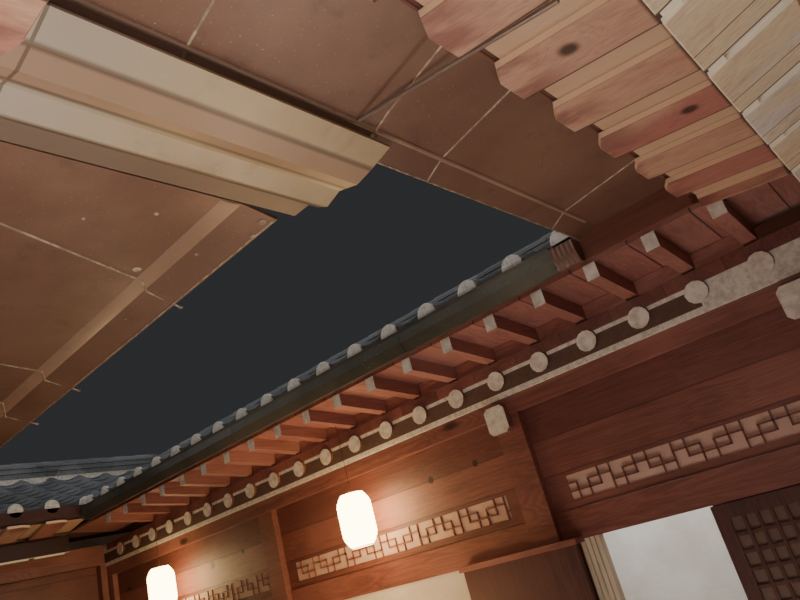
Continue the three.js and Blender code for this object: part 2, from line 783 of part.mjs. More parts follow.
// Raised floors, one to a wing
function floors() {
  const inX = outerX - partyThick - fit;
  const inY = outerY - partyThick - fit;
  const north = northBack + fit;
  const south = -southFace - floorSetIn;
  const floor = (name, x0, x1, y0, y1) => add(name, box(x0, x1, y0, y1, 0, floorTop), "floor");
  floor("north_floor", -inX, inX, north, inY);
  floor("south_floor", -inX, inX, -inY, south);
  floor("east_floor", eastFace + floorSetIn, inX, south + fit, north - fit);
  floor("west_floor", -inX, -westFace - floorSetIn, south + fit, north - fit);
}

function eastAwning() {
  const root = eastEave - fit;
  const section = [
    [root, awningRootZ], [eastFold, foldZ], [eastLip, lipZ], [eastLip, lipZ + lipThick],
    [eastFold, foldZ + sheetThick], [root, awningRootZ + sheetThick],
  ];
  add("east_awning", alongY(section, -southEave + fit, northEave - fit), "brownSheet");
}

// The south awning widens towards the west
function southAwning() {
  const root = southEave - fit;
  const section = [
    [-southFoldInner, foldZ], [-southFoldOuter, foldZ], [-southLip, lipZ], [-southLip, lipZ + lipThick],
    [-southFoldOuter, foldZ + sheetThick], [-southFoldInner, foldZ + sheetThick],
    [-root, awningRootZ + sheetThick], [-root, awningRootZ],
  ];
  const geometry = geometryOf(alongX(section, southAwningWest, southAwningEast));
  const place = geometry.attributes.position;
  for (let i = 0; i < place.count; i += 1) {
    const along = (southAwningEast - place.getX(i)) / (southAwningEast - southAwningWest);
    const out = (place.getY(i) + root) / (root - southLip);
    place.setY(i, place.getY(i) + southSplay * along * out);
  }
  add("south_awning", solidOf(geometry), "brownSheet");
}

function valleyGutter() {
  const over = valleyFolds.map(([x, z]) => [x, z + valleyThick]).reverse();
  const section = [...valleyFolds, ...over].reverse();
  add("valley_gutter", alongY(section, -southEave + fit, valleyEnd), "beigeSheet");
}

// A barrel-shaped paper lantern on a thin hanger
function lantern(name, x) {
  const hangFrom = flyingBottom(lanternY) - fit - 1;
  const belly = [
    [0, lanternLow], [lanternMouth, lanternLow], [lanternRadius, lanternLow + lanternShoulder],
    [lanternRadius, lanternHigh - lanternShoulder], [lanternMouth, lanternHigh], [0, lanternHigh],
  ].map(([r, z]) => new THREE.Vector2(r, z));
  const body = new THREE.LatheGeometry(belly, 16);
  body.rotateX(Math.PI / 2);
  const hanger = rod([0, 0, lanternHigh - 5], [0, 0, hangFrom], hangerRadius, 8);
  const mesh = add(name, join([solidOf(body), hanger]), "lantern");
  mesh.position.set(x, lanternY, 0);
}

northFrame();
[1, 2, 3].forEach(frieze);
doorwayJamb();
doorLeaves();
northInfill();
northRafters();
northFlyingRafters();
northGutter();
gutterCorner();
Object.keys(fronts).forEach(plainFront);
plankEave("east", -northEave + 8, southEave - 8, 7, 300);
plankEave("south", -eastEave + 8, westEave - 8, 40, 90);
plankEave("west", -southEave + 8, northEave - 8, 60, 110);
roofs();
ridgeStack();
partyWalls();
streetGate();
floors();
eastAwning();
southAwning();
valleyGutter();
add("stay_rod", rod(stayFrom, stayTo, stayRadius, 8), "steel");
for (const [name, n] of Object.entries(lanternRafters)) {
  lantern(name, firstRafterX - n * pitch);
}

export default house;
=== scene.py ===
# Courtyard hanok: finishes, roof tiles, lattices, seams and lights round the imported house
import math
import bmesh
import bpy
from mathutils import Matrix, Vector


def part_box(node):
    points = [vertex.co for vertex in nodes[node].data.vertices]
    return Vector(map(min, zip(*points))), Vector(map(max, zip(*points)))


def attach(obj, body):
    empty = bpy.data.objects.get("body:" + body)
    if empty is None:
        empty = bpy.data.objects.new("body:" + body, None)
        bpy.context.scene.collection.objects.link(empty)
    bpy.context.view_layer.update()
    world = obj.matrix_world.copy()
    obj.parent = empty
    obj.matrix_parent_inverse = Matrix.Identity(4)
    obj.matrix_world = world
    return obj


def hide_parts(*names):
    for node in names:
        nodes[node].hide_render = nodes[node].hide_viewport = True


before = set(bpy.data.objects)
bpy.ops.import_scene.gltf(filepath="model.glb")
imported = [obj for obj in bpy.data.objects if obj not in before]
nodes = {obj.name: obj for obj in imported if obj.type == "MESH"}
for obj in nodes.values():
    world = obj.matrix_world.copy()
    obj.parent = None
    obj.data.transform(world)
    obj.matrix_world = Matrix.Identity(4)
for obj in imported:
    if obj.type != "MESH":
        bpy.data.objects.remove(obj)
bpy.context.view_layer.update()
print("frame loaded with", len(nodes), "nodes")

# Camera: under the south-east corner of the eaves, looking up across the yard
camera = {"place": (3.340, -1.895, 2.100), "azimuth": 36.75, "tilt": 20.47, "roll": -15.91, "lens": 30.24}


def link(name, data):
    made = bpy.data.objects.new(name, data)
    bpy.context.scene.collection.objects.link(made)
    return made


def placeCamera():
    data = bpy.data.cameras.new("camera")
    data.lens = camera["lens"]
    data.sensor_width = 36
    data.clip_start = 0.01
    holder = link("camera", data)
    turn = (Matrix.Rotation(math.radians(camera["azimuth"]), 3, "Z")
            @ Matrix.Rotation(math.radians(90 + camera["tilt"]), 3, "X")
            @ Matrix.Rotation(math.radians(camera["roll"]), 3, "Z"))
    holder.matrix_world = Matrix.LocRotScale(Vector(camera["place"]), turn, None)
    bpy.context.scene.camera = holder


placeCamera()
print("camera placed")


# Shader maths: a socket that adds and multiplies as a number does
def binary(operation, swapped=False):
    def work(self, other):
        return self.calc(operation, *((other, self) if swapped else (self, other)))
    return work


def single(operation):
    return lambda self: self.calc(operation, self)


class Value:
    def __init__(self, shader, socket):
        self.shader = shader
        self.socket = socket

    def calc(self, operation, *terms):
        made = self.shader.add("Math", {"operation": operation})
        for socket, term in zip(made.inputs, terms):
            self.shader.feed(socket, term)
        return Value(self.shader, made.outputs[0])

    __add__ = __radd__ = binary("ADD")
    __mul__ = __rmul__ = binary("MULTIPLY")
    __sub__, __rsub__ = binary("SUBTRACT"), binary("SUBTRACT", True)
    __truediv__ = binary("DIVIDE")
    __lt__, __gt__ = binary("LESS_THAN"), binary("GREATER_THAN")
    least, most = binary("MINIMUM"), binary("MAXIMUM")
    floor, fraction, size = single("FLOOR"), single("FRACT"), single("ABSOLUTE")

    def ease(self, low, high):  # 0 below low, 1 above high, smooth between
        made = self.shader.add("MapRange", {"interpolation_type": "SMOOTHSTEP"}, {
            "Value": self, "From Min": low, "From Max": high, "To Min": 0.0, "To Max": 1.0})
        return Value(self.shader, made.outputs[0])


def tint(code):  # a colour as hexadecimal text, made linear
    parts = [int(code[i:i + 2], 16) / 255 for i in (0, 2, 4)]
    linear = [c / 12.92 if c <= 0.04045 else ((c + 0.055) / 1.055) ** 2.4 for c in parts]
    return (*linear, 1.0)


class Shader:
    def __init__(self, name):
        self.material = bpy.data.materials.new(name)
        self.material.use_nodes = True
        self.tree = self.material.node_tree
        self.surface = self.tree.nodes["Principled BSDF"]
        self.place = self.add("TexCoord").outputs["Object"]
        split = self.add("SeparateXYZ", None, {"Vector": self.place})
        self.x, self.y, self.z = (Value(self, out) for out in split.outputs)

    def feed(self, socket, value):  # a number, a colour's code, a value or a socket
        if isinstance(value, str):
            value = tint(value)
        if isinstance(value, Value):
            value = value.socket
        if isinstance(value, bpy.types.NodeSocket):
            self.tree.links.new(value, socket)
        else:
            socket.default_value = value

    def add(self, kind, settings=None, sockets=None):
        made = self.tree.nodes.new("ShaderNode" + kind)
        for key, value in (settings or {}).items():
            setattr(made, key, value)
        for key, value in (sockets or {}).items():
            self.feed(made.inputs[key], value)
        return made

    def stretch(self, scale, turn=(0, 0, 0), where=None):
        where = self.place if where is None else where
        return self.add("Mapping", None, {"Vector": where, "Scale": scale, "Rotation": turn}).outputs[0]

    def grainwise(self, where, axis, low, high):  # drawn out along one axis
        scale = [high] * 3
        scale[axis] = low
        return self.stretch(scale, where=where)

    def noise(self, where, scale, detail=3.0, rough=0.55, swirl=0.0):
        made = self.add("TexNoise", None, {
            "Vector": where, "Scale": scale, "Detail": detail, "Roughness": rough, "Distortion": swirl})
        return Value(self, made.outputs["Fac"])

    def cells(self, where, scale, result="Distance"):
        made = self.add("TexVoronoi", None, {"Vector": where, "Scale": scale})
        out = made.outputs[result]
        return out if result == "Color" else Value(self, out)

    def chance(self, value):  # one random number for each whole value
        made = self.add("TexWhiteNoise", {"noise_dimensions": "1D"}, {"W": value})
        return Value(self, made.outputs["Value"])

    def join(self, x, y, z):
        return self.add("CombineXYZ", None, {"X": x, "Y": y, "Z": z}).outputs[0]

    def mix(self, factor, first, second):
        made = self.add("Mix", {"data_type": "RGBA"})
        self.feed(made.inputs["Factor"], factor)
        self.feed(made.inputs["A"], first)
        self.feed(made.inputs["B"], second)
        return made.outputs["Result"]

    def layers(self, colour, *coats):  # colours laid over it, each with its share
        for share, over in coats:
            colour = self.mix(share, colour, over)
        return colour

    def finish(self, colour, rough, height=None, depth=0.001, **others):
        looks = {"Base Color": colour, "Roughness": rough}
        if height is not None:
            bump = self.add("Bump", None, {"Height": height, "Distance": depth, "Strength": 1.0})
            looks["Normal"] = bump.outputs[0]
        for key, value in {**looks, **others}.items():
            self.feed(self.surface.inputs[key.replace("_", " ")], value)
        return self.material


# Stained timber: stretched grain, knots, joints between boards and painted ends
woods = {
    "roseWood": {"dark": "6c3d35", "light": "ba8072", "blush": "c58f80", "rough": 0.5},
    "redWood": {"dark": "4f2722", "light": "9c6354", "blush": "b07262", "rough": 0.5, "seam": 0.35},
    "darkWood": {"dark": "2c1816", "light": "623a32", "blush": "6b4036", "rough": 0.55},
    "creamWood": {"dark": "c0ab88", "light": "f3e6cc", "blush": "ecd9b4", "rough": 0.5},
    "floorWood": {"dark": "6d4a2c", "light": "a97a4c", "blush": "b5845a", "rough": 0.4},
}
seamShade, knotShade = "1d0e0b", "25100c"

# Coats over timber, each below a place on one axis
coats = {"chalk": {"scale": 22.0, "colours": ("e9e4d6", "c9c0ae")},
         "stone": {"scale": 60.0, "colours": ("77726a", "a39c90")},
         "umber": {"scale": 14.0, "colours": ("4a241c", "5f3026")}}

# Single knots: place and radius
knotPlaces = [(2.963, -0.423, 3.152, 0.030), (3.061, 0.196, 3.13, 0.028), (0.981, 1.541, 2.515, 0.022),
              (0.62, 1.541, 2.51, 0.024), (-1.863, 1.541, 2.471, 0.034), (-1.425, 1.541, 2.495, 0.02)]

# Grain, with scales along and across it
grains = {
    "timber": {"lump": (1.1, 2.6), "heart": 0.03, "blur": (0.7, 1.15), "wave": (0.55, 7.0), "swirl": 1.4,
               "lines": 9.0, "fibre": (4.0, 120.0)},
    "plank": {"lump": (1.0, 3.0), "heart": 0.04, "blur": (0.5, 1.3), "wave": (0.5, 8.0), "swirl": 1.2,
              "lines": 8.0, "fibre": (4.0, 130.0)},
}


def timberGrain(shader, where, axis, spots, look):  # knots, slow waves, growth lines and fibres
    lump = shader.cells(shader.grainwise(where, axis, *look["lump"]), 1.0)
    knot, ring = 1 - lump.ease(look["heart"], 0.10), 1 - lump.ease(0.05, 0.32)
    inner, outer = look["blur"]
    for number in spots:
        *place, radius = knotPlaces[number]
        away = shader.add("VectorMath", {"operation": "DISTANCE"}, {0: shader.place, 1: place})
        away = Value(shader, away.outputs["Value"])
        knot = knot.most(1 - away.ease(radius * inner, radius * outer))
        ring = ring.most(1 - away.ease(radius, radius * 4))
    wave = shader.noise(shader.grainwise(where, axis, *look["wave"]), 1.0, 5.0, 0.6, look["swirl"])
    lines = ((wave * look["lines"] + ring * 3.0).fraction() - 0.5).size() * 2.0
    fibre = shader.noise(shader.grainwise(where, axis, *look["fibre"]), 1.0, 3.0, 0.6)
    return knot, wave, lines, fibre


def wood(name, kind, along, boards=None, knots=1.0, coated=(), spots=()):
    look = woods[kind]
    shader = Shader(name)
    drift = [0.0, 0.0, 0.0]
    if boards:  # each board has a grain and a shade of its own
        across, pitch, phase = boards
        steps = (getattr(shader, across) - phase) / pitch
        seam = (0.5 - (steps.fraction() - 0.5).size()) < 0.0035 / pitch
        pick = shader.chance(steps.floor())
        drift = [pick * 7.0, pick * 5.0, pick * 3.0]
    where = shader.join(*(value + shift for value, shift in zip((shader.x, shader.y, shader.z), drift)))
    knot, wave, lines, fibre = timberGrain(shader, where, "xyz".index(along), spots, grains["timber"])
    tone = (lines * 0.32 + fibre * 0.42 + wave * 0.45 - 0.12).least(1.0).most(0.0)
    patch = shader.noise(where, 0.9, 3.0).ease(0.42, 0.72)
    colour = shader.layers(look["dark"], (tone, look["light"]), (patch * 0.55, look["blush"]))
    height = fibre * 0.5 + lines * 0.35 - knot * 0.6
    if boards:
        colour = shader.layers(colour, (pick * 0.45, look["dark"]), (seam * look.get("seam", 0.8), seamShade))
        height = height - seam * 3.0
    colour = shader.mix(knot * 0.85 * knots, colour, knotShade)
    for side, below, coat, *above in coated:
        cover = shader.mix(shader.noise(shader.place, coats[coat]["scale"], 4.0).ease(0.35, 0.7),
                           *coats[coat]["colours"])
        painted = getattr(shader, side) < below
        if above:
            painted = painted * (shader.z > above[0])
        colour = shader.mix(painted, colour, cover)
    return shader.finish(colour, fibre * 0.2 + look["rough"] - 0.1, height, 0.0012)


# Painted sheet: faint buckles, streaks, dust and splashes of sealant
sheets = {
    "brownSheet": {"base": "705041", "worn": "866653", "grimeAndPaintedShade": "46322a", "rough": 0.34, "metal": 0.15},
    "beigeSheet": {"base": "a18a68", "worn": "b8a27c", "grimeAndPaintedShade": "75604a", "rough": 0.36, "metal": 0.15,
                   # the middle, low and crease colours paint shade on the valley's folds
                   "folds": (2.28, 2.16, 2.04), "lap": -1.425,
                   "middle": "9a7a60", "low": "6d584a", "pale": "aaa39a", "creaseShadeAndJoint": "54402f"},
    # a paler copy of the brown sheet: painted highlight on the awnings' folds
    "foldHighlightSheet": {"base": "8f7260", "worn": "a48873", "grimeAndPaintedShade": "6a5143", "rough": 0.36, "metal": 0.15},
    "charcoalSheet": {"base": "45433a", "worn": "5f5c50", "grimeAndPaintedShade": "24231f", "rough": 0.42, "metal": 0.3},
}
splashShade = "d8cdb8"


def sheetMetal(name):
    look = sheets[name]
    shader = Shader(name)
    cloud = shader.noise(shader.place, 1.6, 4.0)
    streak = shader.noise(shader.stretch((2.0, 2.0, 2.0), (0, 0, 0.7)), 2.2, 5.0, 0.7, 0.6)
    speck = shader.cells(shader.place, 26.0)
    spot = (1 - speck.ease(0.03, 0.08)) * shader.noise(shader.place, 3.0).ease(0.52, 0.66)
    dust = shader.noise(shader.place, 140.0, 2.0).ease(0.66, 0.76) * 0.35
    colour = shader.layers(look["base"], (cloud.ease(0.35, 0.7), look["worn"]),
                           (streak.ease(0.55, 0.8) * 0.55, look["grimeAndPaintedShade"]),
                           ((spot * 0.8 + dust).least(1.0), splashShade))
    if "folds" in look:  # painted shade on the strips between the folds and in the creases, a dark line at the lap, paler towards the south end
        first, second, third = (shader.x - fold for fold in look["folds"])
        away = first.size().least(second.size()).least(third.size())
        creaseShadeAndJoint = (1 - away.ease(0.002, 0.015)).most((shader.y - look["lap"]).size() < 0.004)
        colour = shader.layers(colour, ((0 - shader.y).ease(0.9, 1.4) * 0.6, look["pale"]),
                               ((first < 0) * (second > 0) * 0.8, look["middle"]),
                               ((third < 0) * 0.85, look["low"]), (creaseShadeAndJoint * 0.7, look["creaseShadeAndJoint"]))
    buckle = shader.noise(shader.place, 1.3, 1.0)
    return shader.finish(colour, streak * 0.25 + look["rough"] - 0.08 + spot * 0.3,
                         buckle + streak * 0.03 + spot * 0.02, 0.02,
                         Metallic=look["metal"], Coat_Weight=0.15, Coat_Roughness=0.25)


# Lime plaster, trowelled and a little stained
plasterLook = {"base": "dcd6c6", "shade": "b7ad98", "stain": "8f8271"}


def plaster(name, damp=0.35):
    look = plasterLook
    shader = Shader(name)
    cloud = shader.noise(shader.place, 1.2, 5.0, 0.6)
    grit = shader.noise(shader.place, 55.0, 4.0, 0.6)
    sweep = shader.noise(shader.stretch((3.0, 3.0, 9.0)), 1.0, 4.0, 0.6, 0.8)
    splash = 1 - (shader.z + cloud * 0.5).ease(0.25, 0.85)
    colour = shader.layers(look["base"], (cloud.ease(0.35, 0.75) * 0.7, look["shade"]),
                           (grit.ease(0.55, 0.75) * 0.3, look["shade"]), (splash * damp, look["stain"]))
    return shader.finish(colour, 0.82, grit * 0.4 + sweep, 0.003)


# Fired clay, each tile a little different, with dust and lichen
clayLook = {"base": "4b4e50", "pale": "75787a", "dust": "34363a", "lichen": "8f8f80"}


def clayTile(name):
    shader = Shader(name)
    block = shader.cells(shader.place, 3.3, "Color")
    shade = Value(shader, shader.add("SeparateColor", None, {"Color": block}).outputs[0])
    cloud = shader.noise(shader.place, 2.0, 4.0)
    grit = shader.noise(shader.place, 90.0, 3.0)
    lichen = shader.noise(shader.place, 14.0, 5.0, 0.7).ease(0.6, 0.72)
    colour = shader.layers(clayLook["base"], (shade * 0.7, clayLook["pale"]),
                           (cloud.ease(0.45, 0.8) * 0.5, clayLook["dust"]), (lichen * 0.45, clayLook["lichen"]))
    return shader.finish(colour, grit * 0.2 + 0.62, grit + cloud * 2.0, 0.002)


# Clay bedding on top of the roofs, boards on their sides and underneath
roofLook = {"board": 0.14, "dark": "472419", "light": "8b5743", "earth": ("3d3c3a", "62605b")}


def roofBody(name, along):
    shader = Shader(name)
    facing = shader.add("SeparateXYZ", None, {"Vector": shader.add("NewGeometry").outputs["Normal"]})
    above = Value(shader, facing.outputs["Z"]) > 0.4
    clod = shader.noise(shader.place, 24.0, 4.0)
    steps = (shader.y if along == "x" else shader.x) / roofLook["board"]
    pick = shader.chance(steps.floor())
    grain = shader.noise(shader.grainwise(shader.place, "xy".index(along), 2.0, 40.0), 1.0, 4.0)
    seam = (steps.fraction() - 0.5).size() > 0.48
    board = shader.layers(roofLook["dark"], ((grain * 0.8 + pick * 0.3).least(1.0), roofLook["light"]),
                          (seam * 0.7, seamShade))
    earth = shader.mix(clod, *roofLook["earth"])
    return shader.finish(shader.mix(above, board, earth), 0.75, clod * above + grain * 0.2, 0.003)


# Plaster showing low between the rafters, with painted shade above it in the recess
recessLook = {"chalky": ("e2ddcf", "bdb6a4"), "paintedShade": ("4b342a", "6f5447"), "dark": (2.826, 2.915), "east": 2.56}


def recessPlaster(name):
    shader = Shader(name)
    grit = shader.noise(shader.place, 40.0, 4.0, 0.6)
    chalky = shader.mix(grit.ease(0.35, 0.75), *recessLook["chalky"])
    paintedShade = shader.mix(grit, *recessLook["paintedShade"])
    low, high = recessLook["dark"]
    # painted shade high in the recess, except in the east bays where it is lit
    dark = (shader.z > low) * (shader.z < high) * (shader.x < recessLook["east"])
    return shader.finish(shader.mix(dark, chalky, paintedShade), 0.8, grit, 0.002)


# Mulberry paper of the lattices
papers = {"latticePaper": ("dccfb4", "c3b08c", "b79f80"), "transomPaper": ("cbaa9a", "b5958a", "a68675"),
          "dimPaper": ("6b5549", "594439", "4b382e")}


def paper(name):
    base, fleck, shade = papers[name]
    shader = Shader(name)
    fibre = shader.noise(shader.stretch((60.0, 60.0, 14.0)), 1.0, 4.0, 0.7, 2.0)
    cloud = shader.noise(shader.place, 5.0)
    colour = shader.layers(base, (fibre.ease(0.5, 0.7) * 0.5, fleck), (cloud.ease(0.4, 0.8) * 0.4, shade))
    return shader.finish(colour, 0.85, fibre, 0.0006)


# Coats that are only mottled
plainLooks = {
    "seamPutty": {"grit": (30.0, 3.0), "spread": (0.35, 0.7), "colours": ("8c7762", "bfae95"), "rough": 0.5},
    "plugPlaster": {"grit": (40.0, 4.0, 0.6), "spread": (0.4, 0.75), "colours": ("cfcabf", "a39e93"), "rough": 0.8},
}


def plainCoat(name):
    look = plainLooks[name]
    shader = Shader(name)
    grit = shader.noise(shader.place, *look["grit"])
    colour = shader.mix(grit.ease(*look["spread"]), *look["colours"])
    return shader.finish(colour, look["rough"], grit, 0.002)


# Lit lantern paper and the steel of the stay
glowLook = {"colours": ("ffe2a8", "ffd98f"), "strength": 17.0}
steelLook = {"colours": ("77665a", "a59384"), "metal": 0.6}


def lanternPaper(name):
    shader = Shader(name)
    fibre = shader.noise(shader.stretch((30.0, 30.0, 90.0)), 1.0, 4.0, 0.6)
    colour = shader.mix(fibre.ease(0.4, 0.7), *glowLook["colours"])
    return shader.finish(colour, 0.7, fibre, 0.0004, Emission_Color=colour, Emission_Strength=glowLook["strength"])


def steel(name):
    shader = Shader(name)
    scratch = shader.noise(shader.stretch((8.0, 160.0, 160.0)), 1.0, 3.0)
    colour = shader.mix(scratch, *steelLook["colours"])
    return shader.finish(colour, scratch * 0.2 + 0.3, scratch, 0.0003, Metallic=steelLook["metal"])


def dress(material, names):
    for name in names.split():
        mesh = nodes[name].data
        mesh.materials.clear()
        mesh.materials.append(material)


# Planks of the yard eaves, with the boards that show between them
# The colour of the plank sides is paler sawn wood, brightened with painted light
planks = {
    "outer": {"node": "flying", "slope": -0.13, "under": -0.0325, "thick": 0.025, "half": 0.095, "split": None,
              "phases": {"east": 0.053, "south": 0.02, "west": 0.0}, "spots": (0, 1), "tips": 0.8,
              "first": "c49a80", "second": "b27568", "strip": "c8aa8a", "stain": "85524a", "dark": "5c3228",
              "sawnAndLit": "dfbf9d"},
    "inner": {"node": "rafter", "slope": 0.25, "under": -0.001, "thick": 0.02, "half": 0.1325, "split": 0.66,
              "phases": {"east": 0.0325, "south": 0.2425, "west": 0.0875}, "spots": (), "tips": 0.2,
              "first": "ecdcb8", "second": "e6e2d8", "strip": "eef0ee", "stain": "bd8c70", "dark": "7b5843",
              "sawnAndLit": "efe6cf"},
}
# Marks of the planks. The last three colours paint shade: a shadow line along each plank's edge, shade behind the
# tips, and a shadow where the lower tier begins
plankMarks = {"pitch": 0.31, "joint": 0.0022, "edge": 0.006, "skin": 0.003, "behind": 0.052,
              "knot": "35201b", "grimeAndPaintedShade": "3a1c16", "gap": "33190f", "tierShadow": (0.378, 0.39, 0.45, "26110c")}
plankSides = {"east": ("x", 1), "south": ("y", -1), "west": ("x", -1)}  # axis and sign of the overhang


def plankWood(wing, tier):
    look, marks = planks[tier], plankMarks
    shader = Shader(f"{wing}{tier.title()}Planks")
    side, sign = plankSides[wing]
    axis = "xyz".index(side)
    low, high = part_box(f"{wing}_{look['node']}_planks")
    tip = min(getattr(corner, side) * sign for corner in (low, high))
    base = look["under"] + (high.z if tier == "outer" else low.z)
    run = getattr(shader, side) * sign - tip  # from the tips inwards
    above = shader.z - (run * look["slope"] + base)  # over the undersides of the planks
    steps = (getattr(shader, "yx"[axis]) - look["phases"][wing]) / marks["pitch"]
    pick = shader.chance(steps.floor())
    across = (steps.fraction() - 0.5) * marks["pitch"]  # from the middle of each plank
    where = shader.join(shader.x + pick * 7.0, shader.y + pick * 5.0, shader.z)
    knot, _, lines, fibre = timberGrain(shader, where, axis, look["spots"], grains["plank"])
    patch = shader.noise(shader.grainwise(where, axis, 1.6, 4.5), 1.0, 3.0, 0.5)
    blotch = shader.noise(shader.grainwise(where, axis, 3.0, 6.0), 1.0, 3.0, 0.6)
    colour = shader.mix((patch + pick * 0.36 - 0.18).ease(0.40, 0.60), look["first"], look["second"])
    if look["split"]:  # a joint along each plank
        joint = across - marks["pitch"] * (look["split"] - 0.5)
        colour = shader.layers(colour, ((joint > 0) * 0.6, look["first"]),
                               (joint.size() < marks["joint"], look["dark"]))
    stain = (1 - run.ease(0.03, 0.20)) * blotch.ease(0.42, 0.58) * look["tips"]
    edge = (across + look["half"]).size().least((across - look["half"]).size())
    grimeAndPaintedShade = (across > 0) * (edge < marks["edge"])  # painted shadow along the edge away from the yard's middle
    back = look["thick"] - marks["skin"]
    colour = shader.layers(
        colour, (stain.most(blotch.ease(0.60, 0.72) * 0.5), look["stain"]),
        (lines.ease(0.0, 0.35) * -0.22 + 0.22, look["stain"]), (fibre.ease(0.4, 0.75) * 0.22, look["dark"]),
        (knot * 0.9, marks["knot"]), (grimeAndPaintedShade * 0.85, marks["grimeAndPaintedShade"]),
        ((above > back) * 0.85, shader.mix(blotch.ease(0.35, 0.7) * 0.5, look["strip"], look["first"])),
        # plank sides: paler sawn wood with painted light over it
        ((above > marks["skin"]) * (above < back), look["sawnAndLit"]),
        # painted shade in the gap behind the tips
        ((above > look["thick"] - 0.001) * (run < marks["behind"]), marks["gap"]))
    if tier == "outer":  # painted shadow where the lower tier begins
        start, full, end, tierShadow = marks["tierShadow"]
        colour = shader.mix(run.ease(start, full) * (run < end) * 0.8, colour, tierShadow)
    return shader.finish(colour, fibre * 0.2 + 0.42, fibre * 0.4 + lines * 0.25 - knot * 0.5, 0.001)


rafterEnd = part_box("north_rafters")[0].y + 0.002  # the painted ends lie just in front of this
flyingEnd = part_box("north_flying_rafters")[0].y + 0.0015
sheetLooks = {name: sheetMetal(name) for name in sheets}
clay = clayTile("clayTile")
darkWood = wood("darkPanels", "darkWood", "z")
stoneFeet = ("z", 0.24, "stone")
redWoodZ = wood("redWoodAlongZ", "redWood", "z")
glowPaper = lanternPaper("lanternPaper")
putty = plainCoat("seamPutty")
timbers = [  # name, wood, axis of the grain, board and first joint, coats and single knots, then the nodes
    ("northFrameWood", "redWood", "x", {"coated": (stoneFeet, ("y", rafterEnd, "chalk", 2.5))}, "north_frame"),
    ("southFrameWood", "redWood", "x", {"coated": (stoneFeet,)}, "south_frame"),
    ("sideFrameWood", "redWood", "y", {"coated": (stoneFeet,)}, "east_frame west_frame"),
    ("friezeBoards", "redWood", "x", {"boards": ("z", 0.197, 2.111), "spots": (2, 3, 4, 5)},
     "north_frieze_1 north_frieze_2 north_frieze_3"),
    ("roundRafters", "redWood", "y", {"boards": ("x", 0.303, 0.0), "coated": (("y", rafterEnd, "chalk"),)},
     "north_rafters"),
    ("flyingRafters", "roseWood", "y", {"boards": ("x", 0.303, 0.04), "knots": 0.6,
                                        "coated": (("y", flyingEnd, "chalk"),)}, "north_flying_rafters"),
    ("southFriezeWood", "redWood", "x", {"boards": ("z", 0.25, 2.0)}, "south_frieze"),
    ("sideFriezeWood", "redWood", "y", {"boards": ("z", 0.25, 2.0)}, "east_frieze west_frieze"),
    ("gateBoards", "darkWood", "z", {"boards": ("x", 0.14, 0.0)}, "street_gate_left street_gate_right"),
    ("jambWood", "creamWood", "z", {"coated": (("x", 1.475, "umber"),)}, "doorway_jamb"),
    ("longFloor", "floorWood", "x", {"boards": ("y", 0.12, 0.0)}, "north_floor south_floor"),
    ("sideFloor", "floorWood", "y", {"boards": ("x", 0.12, 0.0)}, "east_floor west_floor"),
]
for name, kind, along, marks, names in timbers:
    dress(wood(name, kind, along, **marks), names)
for wing in plankSides:
    for tier, look in planks.items():
        dress(plankWood(wing, tier), f"{wing}_{look['node']}_planks")
for material, names in (
        (darkWood, "dark_door_panel north_corner_panel sliding_door_leaf fixed_door_leaf"),
        (plaster("limePlaster"), "north_party_wall east_party_wall south_party_wall west_party_wall"),
        (plaster("cleanPlaster", 0.0), "north_wall_middle north_wall_west north_corner_wall"),
        (recessPlaster("recessPlaster"), "north_rafter_plaster"),
        (paper("transomPaper"), "north_transom_1 north_transom_2 north_transom_3"),
        (paper("latticePaper"), "east_screens south_screens west_screens"),
        (sheetLooks["brownSheet"], "east_awning south_awning gutter_corner_piece"),
        (sheetLooks["beigeSheet"], "valley_gutter"), (sheetLooks["charcoalSheet"], "north_gutter"),
        (roofBody("roofAlongX", "x"), "north_roof south_roof"), (roofBody("roofAlongY", "y"), "east_roof west_roof"),
        (clay, "ridge_stack"), (steel("brightSteel"), "stay_rod"), (glowPaper, "lantern_east lantern_west")):
    dress(material, names)
print("materials made")


def fan(count, whole=True):  # angles round a circle, or over half of one with both its ends
    turn = 2 * math.pi if whole else math.pi
    return [turn * i / count for i in range(count if whole else count + 1)]


def circle(place, radius, angles):  # a ring of points, from the place of each step aside and up
    return [place(radius * math.cos(a), radius * math.sin(a)) for a in angles]


